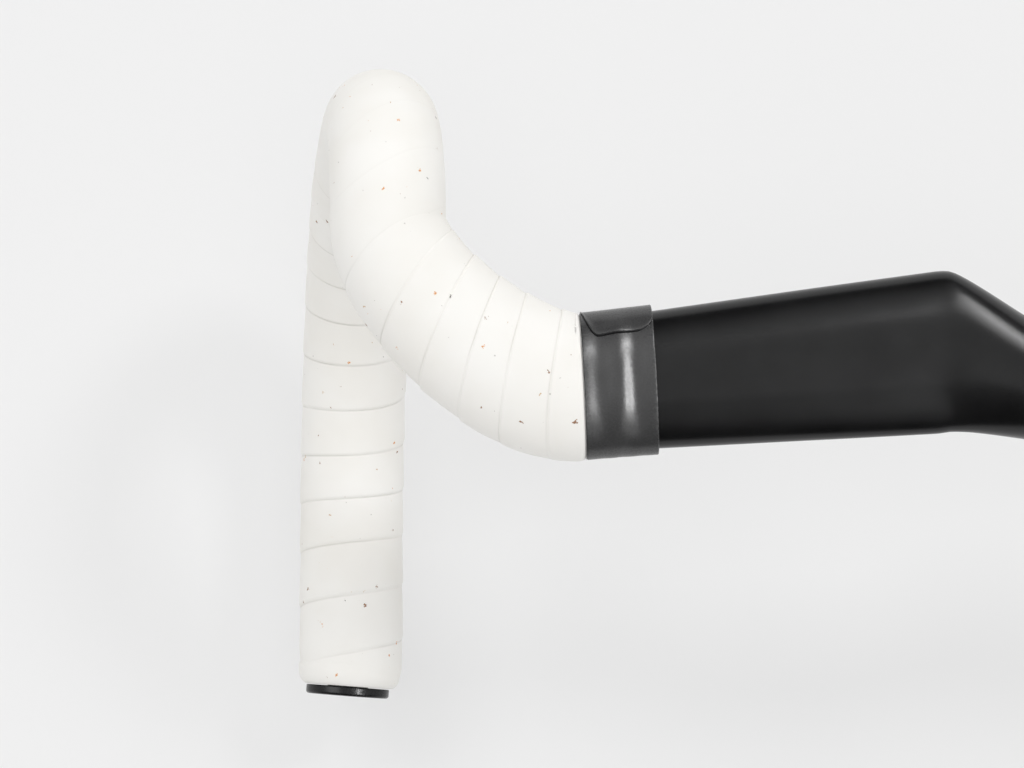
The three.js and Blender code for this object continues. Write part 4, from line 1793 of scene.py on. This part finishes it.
@dataclass
class Studio:
    """Pale floor, soft lamps, boards for the reflections with shade painted dark toward the floor, the room
    and the camera.
    """

    floor_height: float = -0.165
    floor_radius: float = 6.0
    floor_sides: int = 128
    ambient: float = 0.68
    backdrop: float = 0.87
    board_half_width: float = 3.0
    board_painted_shade: tuple = (0.03, 0.03, 0.03, 1.0)
    camera_place: tuple = (-0.163, -0.059, 0.7815)
    camera_tilt: float = 4.4
    lens: float = 107.4
    sensor: float = 36.0
    clip_start: float = 0.01
    lamps: tuple = (
        Softbox("key", (1.50, 1.43, 2.90), ON_GRIP, FORWARD, (0.6, 0.6), 23.0, reflected=False),
        Softbox("fill", (-1.45, 1.65, 2.75), ON_GRIP, RIGHTWARD, (1.4, 1.4), 17.0, reflected=False),
        Softbox("overhead", (-0.10, -0.20, 3.00), ON_GRIP, RIGHTWARD, (1.6, 1.6), 13.5, reflected=False),
        Softbox(
            "strip", (0.88, 0.20, 1.45), (-0.14, 0.0, -0.05), FORWARD, (0.14, 6.0), 120.0, reflected=True),
        Softbox(
            "rear_strip", (0.64, -0.95, 0.98), (-0.14, 0.0, 0.0), (0.49, 0.0, 1.04), (0.12, 1.15), 5.2,
            reflected=True),
        Softbox(
            "low_front", (0.64, 1.53, 0.89), ON_NECK, (-0.19, -0.43, 0.88), (0.27, 1.5), 15.5,
            reflected=True),
        Softbox(
            "high_front", (0.28, 1.12, 1.50), ON_NECK, (-0.22, -0.76, 0.62), (0.16, 0.5), 1.5,
            reflected=True),
        Softbox(
            "left", (-1.45, 0.20, 1.45), (-0.16, 0.0, -0.05), FORWARD, (1.3, 2.0), 20.0, reflected=True),
    )
    boards: tuple = (("rear_board", -1.0, 1.9, 0.40), ("front_board", 1.6, 2.1, 0.95))

    def _floor(self) -> None:
        """Lays the floor."""
        work = bmesh.new()
        bmesh.ops.create_circle(work, cap_ends=True, segments=self.floor_sides, radius=self.floor_radius)
        bmesh.ops.translate(work, verts=work.verts, vec=(0.0, 0.0, self.floor_height))
        mesh = bpy.data.meshes.new("floor")
        work.to_mesh(mesh)
        work.free()
        mesh.materials.append(StudioPaper().material())
        floor = bpy.data.objects.new("floor", mesh)
        bpy.context.scene.collection.objects.link(floor)

    def _board(self, name: str, forward: float, top: float, brightest: float) -> None:
        """Stands a board that shows only in reflections, with shade painted on it that darkens it toward the
        floor.

        Args:
            name: Name of the object.
            forward: Its place in front of the bar, negative behind it.
            top: Height of its upper edge.
            brightest: How pale it is there.
        """
        low = self.floor_height
        half = self.board_half_width
        mesh = bpy.data.meshes.new(name)
        corners = [(-half, forward, low), (half, forward, low), (half, forward, top), (-half, forward, top)]
        mesh.from_pydata(corners, [], [(0, 1, 2, 3)])
        finish = Finish("Board with painted shade")
        height = finish.graph.node("ShaderNodeSeparateXYZ", {"Vector": finish.place}).outputs["Z"]
        pale = (brightest, brightest, brightest, 1.0)
        # Painted shade: the board's colour grades from dark at the floor to pale at its top
        tone = finish.graph.blend(finish.graph.span(height, 0.0, top), self.board_painted_shade, pale)
        finish.set(Base_Color=tone, Roughness=1.0, Specular_IOR_Level=0.0)
        mesh.materials.append(finish.material)
        board = bpy.data.objects.new(name, mesh)
        board.visible_camera = False
        board.visible_diffuse = False
        board.visible_shadow = False
        bpy.context.scene.collection.objects.link(board)

    def _world(self) -> None:
        """Gives the room its even light and the pale backdrop that the camera and reflections see."""
        world = bpy.data.worlds.new("studio")
        world.use_nodes = True
        graph = Graph(world.node_tree)
        background = world.node_tree.nodes["Background"]
        strength = graph.span(seen_directly(graph), 0.0, 1.0, self.ambient, self.backdrop, eased=False)
        background.inputs["Color"].default_value = WHITE
        graph.feed(background.inputs["Strength"], strength)
        bpy.context.scene.world = world

    def _camera(self) -> None:
        """Sets the camera up as the photograph was taken, from almost straight above."""
        data = bpy.data.cameras.new("camera")
        data.lens = self.lens
        data.sensor_width = self.sensor
        data.sensor_fit = "HORIZONTAL"
        data.clip_start = self.clip_start
        camera = bpy.data.objects.new("camera", data)
        camera.location = self.camera_place
        camera.rotation_euler = (math.radians(self.camera_tilt), 0.0, 0.0)
        bpy.context.scene.collection.objects.link(camera)
        bpy.context.scene.camera = camera

    def build(self) -> None:
        """Sets up the floor, the lamps, the boards, the room and the camera."""
        self._floor()
        for lamp in self.lamps:
            lamp.hang()
        for board in self.boards:
            self._board(*board)
        self._world()
        self._camera()
        bpy.context.scene.view_settings.view_transform = "Standard"
        log.info("studio: floor, %d lamps, camera", len(self.lamps))


def main() -> None:
    """Builds the bar, its tape, bands and plugs on both sides, and the studio."""
    logging.basicConfig(level=logging.INFO, format="%(name)s: %(message)s")
    route = BarRoute()
    band = FinishingBand(route)
    seat = PlugSeat(route)
    tape = CorkTape(route, band, seat)
    plug = EndPlug(seat)
    cork = CorkFoam().material()
    vinyl = STRETCHED_VINYL.material()
    plastic = MOULDED_PLASTIC.material()
    rubber = MOULDED_RUBBER.material()
    steel = PLATED_STEEL.material()
    BarShell(route, band.tape_cut).build(SATIN_PAINT.material())
    for side in Side:
        tape.build(side, cork)
        band.build(side, vinyl)
        plug.build(side, plastic, rubber, steel)
    Studio().build()


if __name__ == "__main__":
    main()
